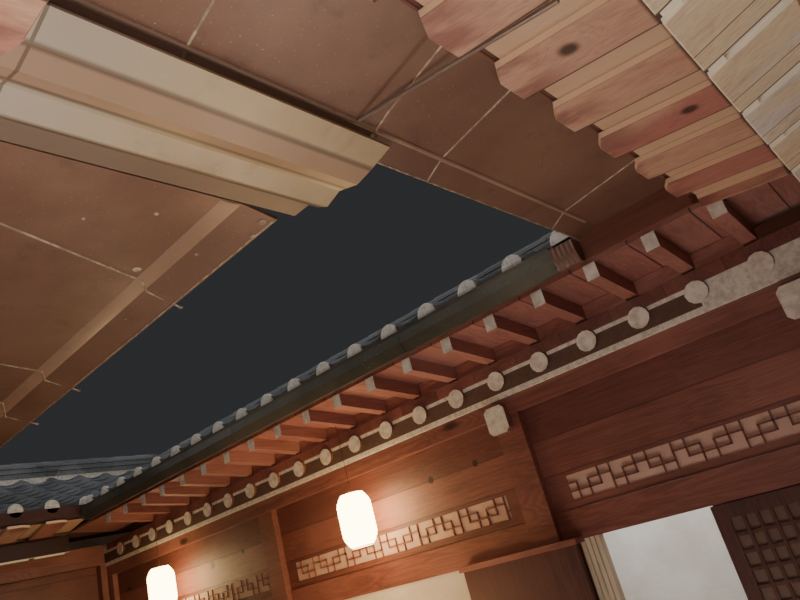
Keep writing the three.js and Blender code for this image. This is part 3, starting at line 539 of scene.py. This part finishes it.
# Meshes: every form is a run of rings, closed at both ends
class Builder:
    def __init__(self):
        self.points = []
        self.faces = []

    def loft(self, rings):
        start = len(self.points)
        count = len(rings[0])
        for ring in rings:
            self.points.extend(ring)
        for level in range(len(rings) - 1):
            low = start + level * count
            for i in range(count):
                j = (i + 1) % count
                self.faces.append((low + i, low + j, low + count + j, low + count + i))
        last = start + (len(rings) - 1) * count
        self.faces.append(tuple(range(start + count - 1, start - 1, -1)))
        self.faces.append(tuple(range(last, last + count)))

    def block(self, x0, x1, y0, y1, z0, z1, wing="north"):  # in a wing's own frame
        plan = [turned(wing, x, y, 0)[:2] for x, y in ((x0, y0), (x1, y0), (x1, y1), (x0, y1))]
        self.loft([[(x, y, z) for x, y in plan] for z in (z0, z1)])

    def bead(self, path, wide, deep):  # a low strip hanging under a surface
        rings = []
        laid = 0.0008  # into the surface
        for i, (x, y, z) in enumerate(path):
            ahead, behind = path[min(i + 1, len(path) - 1)], path[max(i - 1, 0)]
            along = Vector((ahead[0] - behind[0], ahead[1] - behind[1]))
            side = Vector((-along.y, along.x)).normalized() * wide / 2
            rings.append([(x + side.x * s, y + side.y * s, z + lift) for s, lift in (
                (1, laid), (1, -0.3 * deep), (0.5, -deep), (-0.5, -deep), (-1, -0.3 * deep), (-1, laid))])
        self.loft(rings)

    def blob(self, x, y, z, radius, deep):  # a drop of sealant under a surface
        self.loft([circle(lambda u, v: (x + u, y + v, z - deep * fall), radius * share, fan(10))
                   for share, fall in ((1.0, -0.0008), (0.95, 0.35), (0.7, 0.8), (0.3, 1.0))])

    def make(self, name, material, slot, body="house", smooth=None):
        mesh = bpy.data.meshes.new(name)
        mesh.from_pydata([tuple(point) for point in self.points], [], self.faces)
        work = bmesh.new()
        work.from_mesh(mesh)
        bmesh.ops.recalc_face_normals(work, faces=work.faces)
        work.to_mesh(mesh)
        work.free()
        if smooth:
            mesh.polygons.foreach_set("use_smooth", [True] * len(mesh.polygons))
            mesh.set_sharp_from_angle(angle=math.radians(smooth))
        mesh.materials.append(material)
        piece = link(name, mesh)
        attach(piece, body)
        return piece


# The four wings: distances of eave, ridge and outer eave from the middle, and their neighbours
wings = {
    "north": {"turn": 0, "axis": "y", "sign": 1, "left": "west", "right": "east"},
    "east": {"turn": -90, "axis": "x", "sign": 1, "left": "north", "right": "south"},
    "south": {"turn": 180, "axis": "y", "sign": -1, "left": "east", "right": "west"},
    "west": {"turn": 90, "axis": "x", "sign": -1, "left": "south", "right": "north"},
}
for name, wing in wings.items():
    near, far = sorted(getattr(corner, wing["axis"]) * wing["sign"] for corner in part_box(f"{name}_roof"))
    wing["eave"], wing["ridge"], wing["outer"] = near, (near + far) / 2, far
roofTop = max(corner.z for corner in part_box("north_roof"))
edgeTop = 3.305
roofSag = 0.25  # how hollow the slopes are


def hollow(share):  # height on a slope as a share of its rise, straight between quarters
    low = min(3, math.floor(share * 4)) / 4
    here, above = (t - roofSag * t * (1 - t) for t in (low, low + 0.25))
    return here + (above - here) * (share - low) * 4


def turned(wing, x, y, z):  # from a wing's own frame to the house's
    angle = math.radians(wings[wing]["turn"])
    return (x * math.cos(angle) - y * math.sin(angle), x * math.sin(angle) + y * math.cos(angle), z)


# Tiles: covers with plugs at the eave, and pans between them. Clear lengths are for valley, eave and ridge
tiles = {"pitch": 0.30, "first": 0.15, "firstNorth": 1.885, "margin": 0.1, "shortest": 0.02, "step": 0.006,
         "bed": 0.012, "under": -0.004, "coverRadius": 0.058, "coverHigh": 1.1, "coverLength": 0.28,
         "coverClear": (0.07, 0.03, 0.05), "panHalf": 0.115, "panSag": 0.03, "panLength": 0.15,
         "panClear": (0.05, 0.022, 0.03), "plugRadius": 0.064, "plugLift": 0.012,
         "plugShape": ((0.03, 1.0), (0.006, 1.0), (0.0, 0.86)),
         "hidden": (2.53, 0.26)}  # the place behind the awning's end, without a plug


class Slope:
    def __init__(self, wing, inner):
        info = wings[wing]
        self.wing = wing
        self.inner = inner
        self.edge = "eave" if inner else "outer"
        self.start = info[self.edge]
        self.run = info["ridge"] - self.start
        self.rise = roofTop - edgeTop
        self.length = math.hypot(self.run, self.rise)
        self.limits = [wings[info[end]] for end in ("left", "right")]

    def extent(self, x):  # where a row at x starts and ends, in metres up the slope
        neighbour = self.limits[x >= 0]
        edge = neighbour[self.edge]
        share = (abs(x) - edge) / (neighbour["ridge"] - edge)
        low, high = (max(0.0, share), 1.0) if self.inner else (0.0, min(1.0, share))
        return low * self.length, high * self.length

    def row(self, x, clear):  # a row's ends, clear of a valley, of the eave and of the ridge
        low, high = self.extent(x)
        valley, eave, ridge = clear
        return low + (valley if low > 0 else eave), high - ridge

    def reach(self):  # how far rows run each way
        left, right = (limit["ridge" if self.inner else "outer"] for limit in self.limits)
        return -left, right

    def point(self, x, along, lift):
        share, step = along / self.length, 0.01
        steep = self.rise * (hollow(share + step) - hollow(share - step)) / (2 * step)
        true = math.hypot(self.run, steep)
        away = 1 if self.run > 0 else -1
        y = self.start + self.run * share - away * steep * lift / true
        z = edgeTop + self.rise * hollow(share) + abs(self.run) * lift / true
        return turned(self.wing, x, y, z)


def rowPlaces(slope):
    first = tiles["firstNorth" if slope.wing == "north" else "first"]
    low, high = slope.reach()
    count = int((high - low) / tiles["pitch"]) + 2
    start = first + math.ceil((low - first) / tiles["pitch"]) * tiles["pitch"]
    places = [start + i * tiles["pitch"] for i in range(count)]
    return [x for x in places if low + tiles["margin"] < x < high - tiles["margin"]]


def coverRing(slope, x, along, head):  # head is 1 at a tile's upper end, and 0 at its lower one
    radius = tiles["coverRadius"] - tiles["step"] * head
    return circle(lambda u, v: slope.point(x + u, along, v * tiles["coverHigh"]), radius, fan(8, False))


def panRing(slope, x, along, head):
    half, lift = tiles["panHalf"], tiles["bed"] + tiles["step"] * (1 - 2 * head)
    ring = [slope.point(x + half * s, along, lift + tiles["panSag"] * s * s) for s in (-1, -0.5, 0, 0.5, 1)]
    return ring + [slope.point(x + half * s, along, tiles["under"]) for s in (1, -1)]


def tileRow(builder, slope, x, kind, ringAt):
    low, high = slope.row(x, tiles[kind + "Clear"])
    rings = []
    while low < high - tiles["shortest"]:
        end = min(low + tiles[kind + "Length"], high)
        rings += [ringAt(slope, x, low, 0), ringAt(slope, x, end, 1)]
        low = end
    if rings:
        builder.loft(rings)


def plug(builder, slope, x):
    away = 1 if slope.run > 0 else -1
    lift = edgeTop + tiles["plugLift"]
    builder.loft([circle(lambda u, v: turned(slope.wing, x + u, slope.start + away * depth, lift + v),
                         tiles["plugRadius"] * share, fan(20)) for depth, share in tiles["plugShape"]])


def tileSlopes():
    middle, reach = tiles["hidden"]
    for wing in wings:
        covers, pans, plugs = Builder(), Builder(), Builder()
        for slope in (Slope(wing, True), Slope(wing, False)):
            places = rowPlaces(slope)
            for x in places:
                tileRow(covers, slope, x, "cover", coverRing)
                hidden = wing == "north" and slope.inner and abs(x - middle) < reach
                if slope.extent(x)[0] == 0 and not hidden:
                    plug(plugs, slope, x)
            for x in places[:-1]:
                tileRow(pans, slope, x + tiles["pitch"] / 2, "pan", panRing)
        for kind, builder, material, slot in (("cover_tiles", covers, clay, "roof_tile"),
                                              ("pan_tiles", pans, clay, "roof_tile"),
                                              ("tile_plugs", plugs, chalk, "lime_plaster")):
            builder.make(f"{wing}_{kind}", material, slot, smooth=35)


chalk = plainCoat("plugPlaster")
tileSlopes()
print("roof tiles laid")


# Crests: a ring of stacked flat tiles and covers, hips down the outer corners, pans up the inner ones
crests = {"tile": 0.30, "gap": 0.004, "courses": 5, "thick": 0.027, "joint": 0.003, "half": 0.104, "inset": 0.011,
          "bedHigh": 0.035, "bedDeep": 0.05, "bedIn": 0.012, "coverRadius": 0.058, "coverLength": 0.28, "step": 0.006}
hipLook = {"half": 0.085, "courses": 2, "low": 0.044, "long": 0.928, "parts": 24, "gap": 0.002, "lift": 0.055,
           "foot": 0.10, "coverEnd": 0.97, "coverLength": 0.11, "plug": (0.04, 0.052), "plugRadius": 0.052}
valleyLook = {"low": 0.012, "long": 0.93, "tiles": 12, "half": 0.13, "lifts": (0.016, 0.007)}


def ringSpan(wing):  # the run of ridge belonging to one wing, along its own X
    left, right = (wings[wings[wing][end]]["ridge"] for end in ("left", "right"))
    reach = crests["half"] if wing in ("north", "south") else -crests["half"]
    return -left - reach, right + reach


def archRings(place, low, high, length):  # half-round tiles overlapping along a line
    count = max(1, round((high - low) / length))
    rings = []
    for i in range(count):
        for end in (0, 1):
            at = low + (high - low) * (i + end) / count
            radius = crests["coverRadius"] - crests["step"] * end
            rings.append(circle(lambda u, v: place(at, u, v), radius, fan(8, False)))
    return rings


def ridgeRing():
    stack, bed = Builder(), Builder()
    half, thick, joint = crests["half"], crests["thick"], crests["joint"]
    base = roofTop + crests["bedHigh"]
    for wing, info in wings.items():
        low, high = ringSpan(wing)
        middle = info["ridge"]
        side = half - crests["bedIn"]
        bed.block(low, high, middle - side, middle + side, roofTop - crests["bedDeep"], base, wing)
        for course in range(crests["courses"]):
            odd = course % 2
            deep = half - crests["inset"] * odd
            z = base + course * thick
            x = low - crests["tile"] / 2 * odd
            while x < high:
                first, last = max(low, x), min(high, x + crests["tile"] - crests["gap"])
                if last - first > tiles["shortest"]:
                    stack.block(first, last, middle - deep, middle + deep, z, z + thick - joint, wing)
                x += crests["tile"]
        z = base + crests["courses"] * thick - joint
        stack.loft(archRings(lambda at, side, lift: turned(wing, at, middle + side, z + lift),
                             low, high, crests["coverLength"]))
    ring = stack.make("ridge_tiles", clay, "roof_tile", smooth=35)
    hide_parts("ridge_stack")
    bed.make("ridge_bedding", chalk, "lime_plaster")


class Corner:  # the line of a hip or a valley, in plan from its eave to the ring of ridges
    def __init__(self, x, y, kind):
        sideX, sideY = wings["east" if x > 0 else "west"], wings["north" if y > 0 else "south"]
        self.start = Vector((x * sideX[kind], y * sideY[kind]))
        self.end = Vector((x * sideX["ridge"], y * sideY["ridge"]))
        self.line = self.end - self.start
        self.across = Vector((-self.line.y, self.line.x)).normalized()
        self.walls = [(abs(self.start.x), abs(self.end.x)), (abs(self.start.y), abs(self.end.y))]
        self.pick = max if kind == "eave" else min

    def point(self, share, side, lift):  # beside the line at a lift over the tiles' bed
        place = self.start + self.line * share + self.across * side
        shares = [(abs(at) - low) / (high - low) for at, (low, high) in zip(place, self.walls)]
        level = hollow(min(1.0, max(0.0, self.pick(shares))))
        return (place.x, place.y, edgeTop + (roofTop - edgeTop) * level + lift)

    def section(self, share, z, *sides):  # points beside the line, as high as z and the lift of each
        return [(*self.point(share, side, 0)[:2], z + lift) for side, lift in sides]


def corners(kind):
    return [Corner(x, y, kind) for x in (-1, 1) for y in (-1, 1)]


def hips():
    stack, plugs = Builder(), Builder()
    thick, joint, count = crests["thick"], crests["joint"], hipLook["parts"]
    shares = [hipLook["low"] + hipLook["long"] * i / count for i in range(count + 1)]
    top = hipLook["lift"] + hipLook["courses"] * thick - joint
    for hip in corners("outer"):
        for course in range(hipLook["courses"]):
            deep = hipLook["half"] - crests["inset"] * (course % 2)
            base = hipLook["lift"] + course * thick
            foot = base if course else base - hipLook["foot"]  # the first course is bedded on the slopes
            head = base + thick - joint
            for low, high in zip(shares, shares[1:]):
                rings = []
                for share in (low, high - hipLook["gap"]):
                    rings.append(hip.section(share, hip.point(share, 0, 0)[2],
                                             (-deep, foot), (deep, foot), (deep, head), (-deep, head)))
                stack.loft(rings)

        def over(share, side, lift):
            return (*hip.point(share, side, 0)[:2], hip.point(share, 0, 0)[2] + top + lift)
        stack.loft(archRings(over, hipLook["low"], hipLook["coverEnd"], hipLook["coverLength"]))
        plugs.loft([circle(lambda u, v: over(share, u, v + crests["step"]), hipLook["plugRadius"], fan(16))
                    for share in hipLook["plug"]])
    stack.make("hip_tiles", clay, "roof_tile", smooth=35)
    plugs.make("hip_plugs", chalk, "lime_plaster")


def valleys():
    pans = Builder()
    count, half = valleyLook["tiles"], valleyLook["half"]
    for valley in corners("eave"):
        rings = []
        for i in range(count):
            for end, lift in enumerate(valleyLook["lifts"]):
                at = valleyLook["low"] + valleyLook["long"] * ((i + end) / count)
                rings.append([valley.point(at, half * s, lift) for s in (-1, -0.5, 0, 0.5, 1)]
                             + [valley.point(at, half * s, tiles["under"]) for s in (1, 0, -1)])
        pans.loft(rings)
    pans.make("valley_tiles", clay, "roof_tile", smooth=35)


ridgeRing()
hips()
valleys()
print("ridges, hips and valleys laid")


# Rafters of the outer eaves, plumb-cut and painted at the ends, with a bigger one under each hip
outerRafters = {"pitch": 0.303, "radius": 0.05, "drop": 1.06, "setIn": 0.06, "tail": 0.52, "under": 0.164,
                "corner": 0.62, "painted": 0.97, "coat": 0.002}
hipRafters = {"shares": (0.03, 0.235), "half": 0.06, "deep": 0.15, "top": -0.176}


def outerEaves():
    timber, ends = Builder(), Builder()
    look = outerRafters
    radius, coat, rise = look["radius"], look["coat"], roofTop - edgeTop
    for wing, info in wings.items():
        outer = info["outer"]
        fall = rise / (outer - info["ridge"])
        tip, tail = outer - look["setIn"], outer - look["tail"]

        def ring(x, y, size, middle):  # a section at y, as high as the rafter is at `middle`
            z = edgeTop - look["under"] - radius * look["drop"] + fall * (outer - middle)
            return circle(lambda u, v: turned(wing, x + u, y, z + v), size, fan(12))
        low, high = (look["corner"] - wings[info["left"]]["outer"], wings[info["right"]]["outer"] - look["corner"])
        count = round((high - low) / look["pitch"])
        for i in range(count + 1):
            x = low + (high - low) * i / count
            timber.loft([ring(x, y, radius, y) for y in (tail, tip)])
            ends.loft([ring(x, y, radius * look["painted"], tip) for y in (tip - coat, tip + coat)])
    for hip in corners("outer"):
        half, deep, top = (hipRafters[key] for key in ("half", "deep", "top"))
        timber.loft([hip.section(at, edgeTop + top + rise * at, (-half, 0), (half, 0), (half, -deep), (-half, -deep))
                     for at in hipRafters["shares"]])
    timber.make("outer_rafters", redWoodZ, "red_wood", smooth=40)
    ends.make("outer_rafter_ends", chalk, "lime_plaster")


outerEaves()
print("outer eaves done")


# Short boards that close the eave between the flying rafters
eaveInfill = {"pitch": 0.303, "first": 2.866, "bays": 18, "clear": 0.034, "front": 1.474, "back": 1.488,
              "low": 3.003, "high": 3.086}


def closeNorthEave():
    boards = Builder()
    look = eaveInfill
    for bay in range(look["bays"]):
        right = look["first"] - bay * look["pitch"] - look["clear"]
        left = right + 2 * look["clear"] - look["pitch"]
        boards.block(left, right, look["front"], look["back"], look["low"], look["high"])
    boards.make("north_eave_infill", roseWood, "red_wood")


roseWood = wood("eaveInfillWood", "roseWood", "x")
closeNorthEave()


# Fretwork of the transoms: one unit of bars, turned over every other time
fret = {"unit": 0.344, "bar": 0.008, "front": 1.5365, "back": 1.5448, "start": 1.786, "shortest": 0.003,
        "across": [(1, 0, 2), (1, 3, 5), (2, 1, 4)],  # rows of three, then the run in fifths
        "down": [(0, 0, 3), (1, 0, 2), (2, 1, 3), (3, 1, 3), (4, 0, 2)]}  # fifths, then rows


def transomFret(number):
    low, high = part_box(f"north_transom_{number}")
    bars, tall, half, unit = Builder(), high.z - low.z, fret["bar"] / 2, fret["unit"]
    row, fifth = tall / 3, unit / 5
    first, last = ((edge - fret["start"]) / unit for edge in (low.x, high.x))
    for k in range(math.floor(first), math.ceil(last) + 1):
        base = fret["start"] + k * unit
        runs = [(u0, u1, v * row - half, v * row + half) for v, u0, u1 in fret["across"]]
        runs += [(u, u, v0 * row, v1 * row) for u, v0, v1 in fret["down"]]
        for u0, u1, v0, v1 in runs:
            x0, x1 = max(base + u0 * fifth - half, low.x), min(base + u1 * fifth + half, high.x)
            v0, v1 = max(v0, 0.0), min(v1, tall)
            if k % 2:
                v0, v1 = tall - v1, tall - v0
            if x1 - x0 > fret["shortest"]:
                bars.block(x0, x1, fret["front"], fret["back"], low.z + v0, low.z + v1)
    bars.make(f"transom_fret_{number}", redWoodZ, "red_wood")


for number in (1, 2, 3):
    transomFret(number)


# Square lattice let into the two door leaves
doorGrid = {"stile": 0.066, "recess": 0.009, "bar": 0.016, "counts": (9, 19), "paper": 0.0006, "behind": 0.002,
            "front": (0.001, 0.002), "runners": 0.006}


def gridBars(builder, x0, x1, z0, z1, counts, half, fronts, back, wing="north"):  # upright bars, then level ones
    across, up = counts
    for i in range(1, across):
        x = x0 + (x1 - x0) * i / across
        builder.block(x - half, x + half, fronts[0], back, z0, z1, wing)
    for i in range(1, up):
        z = z0 + (z1 - z0) * i / up
        builder.block(x0, x1, fronts[1], back, z - half, z + half, wing)


def doorGridOn(node, body):
    low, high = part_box(node)
    look, bars, pane = doorGrid, Builder(), Builder()
    stile, floor = look["stile"], low.y + look["recess"]
    bottom = low.z + (look["runners"] if body == "door_leaf" else 0.0)
    inner = (low.x + stile, high.x - stile, bottom + stile, high.z - stile)
    fronts = [low.y + front for front in look["front"]]
    gridBars(bars, *inner, look["counts"], look["bar"] / 2, fronts, floor)
    x0, x1, z0, z1 = inner
    pane.block(x0, x1, floor - look["paper"], floor + look["behind"], z0, z1)
    bars.make(node + "_lattice", darkWood, "dark_wood", body)
    pane.make(node + "_paper", dimPaper, "lattice_paper", body)


dimPaper = paper("dimPaper")
doorGridOn("sliding_door_leaf", "door_leaf")
doorGridOn("fixed_door_leaf", "house")


# Lattice screens of the other three fronts: leaves with a board below and fine bars above
screens = {"leaf": 0.64, "stile": 0.052, "foot": 0.09, "low": 0.367, "high": 1.955, "board": 0.78, "front": 0.014,
           "panel": 0.026, "bars": (0.026, 0.028), "back": 0.0495, "bar": 0.013, "wide": 0.092, "tall": 0.104,
           "play": 0.003, "behind": 0.05}
screenBays = {
    "east": [(-1.42, 0.264), (0.436, 2.04)],
    "south": [(-3.449, -1.786), (-1.614, 0.014), (0.186, 1.014), (2.586, 3.599)],
    "west": [(-2.04, -0.386), (-0.214, 1.42)],
}


def screenLeaf(timber, wing, face, x0, x1):
    stile, z0, z1, sill = screens["stile"], screens["low"], screens["high"], screens["board"]
    front, panel, back = (face + screens[key] for key in ("front", "panel", "back"))
    left, right, foot, low, high = x0 + stile, x1 - stile, z0 + screens["foot"], sill + stile, z1 - stile
    for a, b in ((x0, left), (right, x1)):
        timber.block(a, b, front, back, z0, z1, wing)
    for a, b in ((z0, foot), (sill, low), (high, z1)):
        timber.block(left, right, front, back, a, b, wing)
    timber.block(left, right, panel, back, foot, sill, wing)
    counts = round((right - left) / screens["wide"]), round((high - low) / screens["tall"])
    fronts = [face + bars for bars in screens["bars"]]
    gridBars(timber, left, right, low, high, counts, screens["bar"] / 2, fronts, back, wing)


def latticeFront(wing):
    axis, play = "y" if wing == "south" else "x", screens["play"]
    face = min(abs(getattr(corner, axis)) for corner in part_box(f"{wing}_screens")) - screens["behind"]
    timber = Builder()
    for low, high in screenBays[wing]:
        count = round((high - low) / screens["leaf"])
        step = (high - low) / count
        for i in range(count):
            screenLeaf(timber, wing, face, low + i * step + play, low + (i + 1) * step - play)
    timber.make(f"{wing}_lattice", redWoodZ, "red_wood")


for wing in screenBays:
    latticeFront(wing)
print("lattices done")


# Seams of the two awnings, as lapped strips with sealant and drops of it. Strips: wide and deep
seams = {"root": 3.293, "fold": 3.291, "lip": 3.262, "strip": (0.009, 0.0035), "narrow": (0.0072, 0.0035),
         "drop": (0.009, 0.005), "spatter": 0.004, "southLip": (0.006, 0.003), "eastLip": (0.005, 0.003),
         "eastFold": (0.02, 0.007), "southFold": (0.076, 0.0025), "foldShare": 0.828}
southSheet = {"eave": -1.475, "foldIn": -0.685, "fold": -0.609, "lip": -0.467, "flat": 0.79, "drop": 0.142,
              "deep": 1.008, "splay": 0.089, "east": 1.863, "long": 4.763, "ends": (1.857, -2.894)}
eastSheet = {"fold": 2.366, "lip": 2.269, "flat": 0.424, "drop": 0.097, "edge": 2.2725,
             "foldEnds": (-1.46, 0.95), "lipEnds": (-1.468, 1.045)}
southSeams = [
    [(1.614, -1.47), (1.496, -1.205), (1.336, -0.801), (1.276, -0.649), (1.201, -0.589), (1.151, -0.416)],
    [(0.650, -1.47), (0.410, -0.830), (0.340, -0.636), (0.231, -0.577), (0.172, -0.397)],
    [(0.176, -1.47), (-0.087, -0.645), (-0.295, -0.564), (-0.349, -0.388)],
    [(-0.862, -1.47), (-1.068, -0.627), (-1.185, -0.548), (-1.234, -0.377)],
    [(-1.841, -1.47), (-2.047, -0.612), (-2.155, -0.538), (-2.204, -0.362)],
]
eastSeams = [
    [(2.785, -0.245), (2.703, -0.225), (2.369, -0.147), (2.272, -0.125)],
    [(2.785, 0.637), (2.743, 0.651), (2.372, 0.733), (2.272, 0.774)],
    [(2.785, -0.587), (2.446, -0.501), (2.348, -0.470), (2.272, -0.455)],
    [(2.785, -1.180), (2.366, -1.116), (2.272, -1.097)],
]
sealantDrops = [(1.351, -0.706, 0.016), (1.707, -0.827, 0.008), (1.602, -1.011, 0.006), (0.847, -0.454, 0.006),
                (0.960, -0.554, 0.006), (1.528, -0.572, 0.007), (1.734, -0.480, 0.012), (1.822, -0.499, 0.015)]


def between(low, high, share):
    return low + (high - low) * min(1.0, max(0.0, share))


def southSwing(x):  # how far the lip swings out at x
    return southSheet["splay"] * (southSheet["east"] - x) / southSheet["long"]


def southUnder(x, y):  # height of the south awning's underside
    out = (y - southSheet["eave"]) / (southSheet["lip"] - southSheet["eave"])
    flat = y - southSwing(x) * out
    if flat < southSheet["fold"]:
        return between(seams["fold"], seams["root"], (southSheet["foldIn"] - flat) / southSheet["flat"])
    return between(seams["fold"], seams["lip"], (flat - southSheet["fold"]) / southSheet["drop"])


def eastUnder(x, y):
    if x > eastSheet["fold"]:
        return between(seams["fold"], seams["root"], (x - eastSheet["fold"]) / eastSheet["flat"])
    return between(seams["lip"], seams["fold"], (x - eastSheet["lip"]) / eastSheet["drop"])


def southEdge(x, out):  # a line parallel to the awning's folds, this far out from the eave
    return southSheet["eave"] + out * (1 + southSwing(x) / southSheet["deep"])


def awningSeams():
    lines, folds = Builder(), Builder()
    for path in southSeams:
        lines.bead([(x, y, southUnder(x, y)) for x, y in path], *seams["strip"])
        for x, y in path[2:]:
            lines.blob(x, y, southUnder(x, y), *seams["drop"])
    for path in eastSeams:
        lines.bead([(x, y, eastUnder(x, y)) for x, y in path], *seams["narrow"])
        x, y = path[-2]
        lines.blob(x, y, eastUnder(x, y), *seams["drop"])
    lip, fold = ([(x, southEdge(x, out)) for x in southSheet["ends"]] for out in (1.0, seams["foldShare"]))
    lines.bead([(x, y, southUnder(x, y)) for x, y in lip], *seams["southLip"])
    edge = eastSheet["edge"]
    lines.bead([(edge, y, eastUnder(edge, y)) for y in eastSheet["lipEnds"]], *seams["eastLip"])
    for x, y, radius in sealantDrops:
        lines.blob(x, y, southUnder(x, y), radius, seams["spatter"])
    lines.make("awning_sealant", putty, "brown_sheet", smooth=60)
    # the folds get the paler copy of the brown sheet, a painted highlight
    folds.bead([(eastSheet["fold"], y, seams["fold"]) for y in eastSheet["foldEnds"]], *seams["eastFold"])
    folds.bead([(x, y, seams["fold"]) for x, y in fold], *seams["southFold"])
    folds.make("awning_folds", foldHighlightMaterial, "brown_sheet", smooth=60)


foldHighlightMaterial = sheetMetal("foldHighlightSheet")
awningSeams()


# Joint bands of the gutter, and the corrugated casing at its east end
gutterLook = {"places": (1.108, -0.538, -2.18), "half": 0.012, "face": 0.968, "rim": 0.016, "bend": 0.057,
              "foot": 0.03, "proud": 0.003, "casing": 0.007, "wave": 0.005, "pitch": 0.026, "back": 0.004,
              "floor": 0.006}


def gutterFront(proud):  # the front in section, from its rim down to its foot
    low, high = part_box("north_gutter")
    front = gutterLook["face"] - proud
    return [(front, high.z - gutterLook["rim"]), (front, low.z + gutterLook["bend"]),
            (front + gutterLook["foot"], low.z - proud * 0.5)]


def bandGutter():
    bands = Builder()
    outer, inner = gutterFront(gutterLook["proud"]), gutterFront(-0.001)
    for place in gutterLook["places"]:
        for i in (0, 1):
            ring = [outer[i], outer[i + 1], inner[i + 1], inner[i]]
            bands.loft([[(x, y, z) for y, z in ring]
                        for x in (place - gutterLook["half"], place + gutterLook["half"])])
    bands.make("gutter_bands", sheetLooks["charcoalSheet"], "charcoal_sheet")


def casing():
    low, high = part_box("gutter_corner_piece")
    back, floor = high.y - gutterLook["back"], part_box("north_gutter")[0].z + gutterLook["floor"]
    parts = 8  # of each wave
    count = round((high.x - low.x) / gutterLook["pitch"]) * parts
    rings = []
    for i in range(count + 1):
        x = low.x + (high.x - low.x) * i / count
        lift = gutterLook["wave"] * (math.cos(2 * math.pi * i / parts) - 1) / 2
        front = gutterFront(gutterLook["casing"] + lift)
        rings.append([(x, y, z) for y, z in [*front, (back, floor), (back, high.z)]])
    shell = Builder()
    shell.loft(rings)
    cover = shell.make("gutter_casing", sheetLooks["brownSheet"], "brown_sheet", smooth=50)
    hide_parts("gutter_corner_piece")


casing()
bandGutter()
print("sheet work done")


# Lanterns: hooped paper barrels on thin wires
lanternLook = {"high": 0.34, "mouth": 0.07, "belly": 0.113, "swell": 0.26, "hoops": 13, "dip": 0.0025, "sides": 28,
               "rim": 0.012, "rimOut": 0.003, "wire": 0.002, "wireIn": 0.01}


def lantern(node):
    low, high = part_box(node)
    look, paperShell, dark = lanternLook, Builder(), Builder()
    x, y = (low.x + high.x) / 2, (low.y + high.y) / 2
    tall, mouth, rim = look["high"], look["mouth"], look["rim"]
    bottom, top = low.z, low.z + tall
    angles = fan(look["sides"])

    def hoop(z, radius, corners=angles):
        return circle(lambda u, v: (x + u, y + v, z), radius, corners)
    rings = []
    for i in range(look["hoops"] * 2 + 1):  # a quick swell from the mouths, nearly straight between
        share = i / (look["hoops"] * 2)
        swell = min(1.0, min(share, 1 - share) / look["swell"])
        girth = mouth + (look["belly"] - mouth) * math.sin(swell * math.pi / 2)
        rings.append(hoop(bottom + (top - bottom) * share, girth - look["dip"] * (i % 2)))
    paperShell.loft(rings)
    for z0, z1 in ((bottom, bottom + rim), (top - rim, top)):
        dark.loft([hoop(z, mouth + look["rimOut"]) for z in (z0, z1)])
    dark.loft([hoop(z, look["wire"], angles[::4]) for z in (top - look["wireIn"], high.z)])
    whole = paperShell.make(node + "_paper", glowPaper, "lantern_shade", smooth=60)
    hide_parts(node)
    dark.make(node + "_rims", darkWood, "dark_wood", smooth=60)


for node in ("lantern_east", "lantern_west"):
    lantern(node)
print("lanterns hung")


# Lights: place, size, power, turn in degrees and colour
skyLook = {"colour": "c9ccd2", "strength": 0.05}
lights = {
    "porch": ((2.12, -1.9, 1.6), (0.6, 0.4), 28, (180, 0, 0), "fdf4ec"),
    "corner": ((3.42, -1.7, 1.9), (0.1, 0.3), 8, (150, 0, 0), "f8f6f6"),
    "front": ((1.7, 0.85, 0.5), (2.2, 0.5), 20, (180, 0, 0), "fff2e6"),
    "west": ((-1.3, 0.85, 0.5), (3.0, 0.5), 5, (180, 0, 0), "ffe4c4"),
    "glow": ((0.1, 0.8, 1.6), (0.9, 0.3), 10, (148, 0, 0), "ffcb8c"),
    "room": ((1.0, 2.9, 2.6), (2.4, 1.4), 54, (0, 0, 0), "f4f6ff"),
    "overhead": ((0.0, 0.0, 14.0), (9, 9), 450, (0, 0, 0), "f8f8ff"),
    "southSide": ((-2.0, -14.0, 5.0), (12, 5), 1400, (82, 0, -8), "fff6ea"),
    "northSide": ((2.0, 14.0, 5.0), (12, 5), 1100, (-82, 0, -8), "f4f6ff"),
    "eastSide": ((15.0, 0.0, 5.0), (5, 12), 1100, (0, 82, 0), "fff6ea"),
    "westSide": ((-15.0, 0.0, 5.0), (5, 12), 1100, (0, -82, 0), "f4f6ff"),
}
floorLook = {"size": 60, "base": "d9d5cc", "speckle": "cfcabf"}


def placeLights():
    world = bpy.data.worlds.new("softSky")
    world.use_nodes = True
    background = world.node_tree.nodes["Background"]
    background.inputs["Color"].default_value = tint(skyLook["colour"])
    background.inputs["Strength"].default_value = skyLook["strength"]
    bpy.context.scene.world = world
    for name, (place, size, power, turn, colour) in lights.items():
        data = bpy.data.lights.new(name + "Light", "AREA")
        data.shape = "RECTANGLE"
        data.size, data.size_y = size
        data.energy = power
        data.color = tint(colour)[:3]
        lamp = link(name + "Light", data)
        lamp.location = place
        lamp.rotation_euler = [math.radians(angle) for angle in turn]


def placeFloor():
    half = floorLook["size"] / 2
    mesh = bpy.data.meshes.new("studioFloor")
    mesh.from_pydata([(-half, -half, 0), (half, -half, 0), (half, half, 0), (-half, half, 0)], [], [(0, 1, 2, 3)])
    shader = Shader("studioFloor")
    speckle = shader.noise(shader.place, 4.0, 3.0) * 0.3
    colour = shader.mix(speckle, floorLook["base"], floorLook["speckle"])
    mesh.materials.append(shader.finish(colour, 0.8))
    link("studioFloor", mesh)


placeLights()
placeFloor()
print("lights and floor placed")
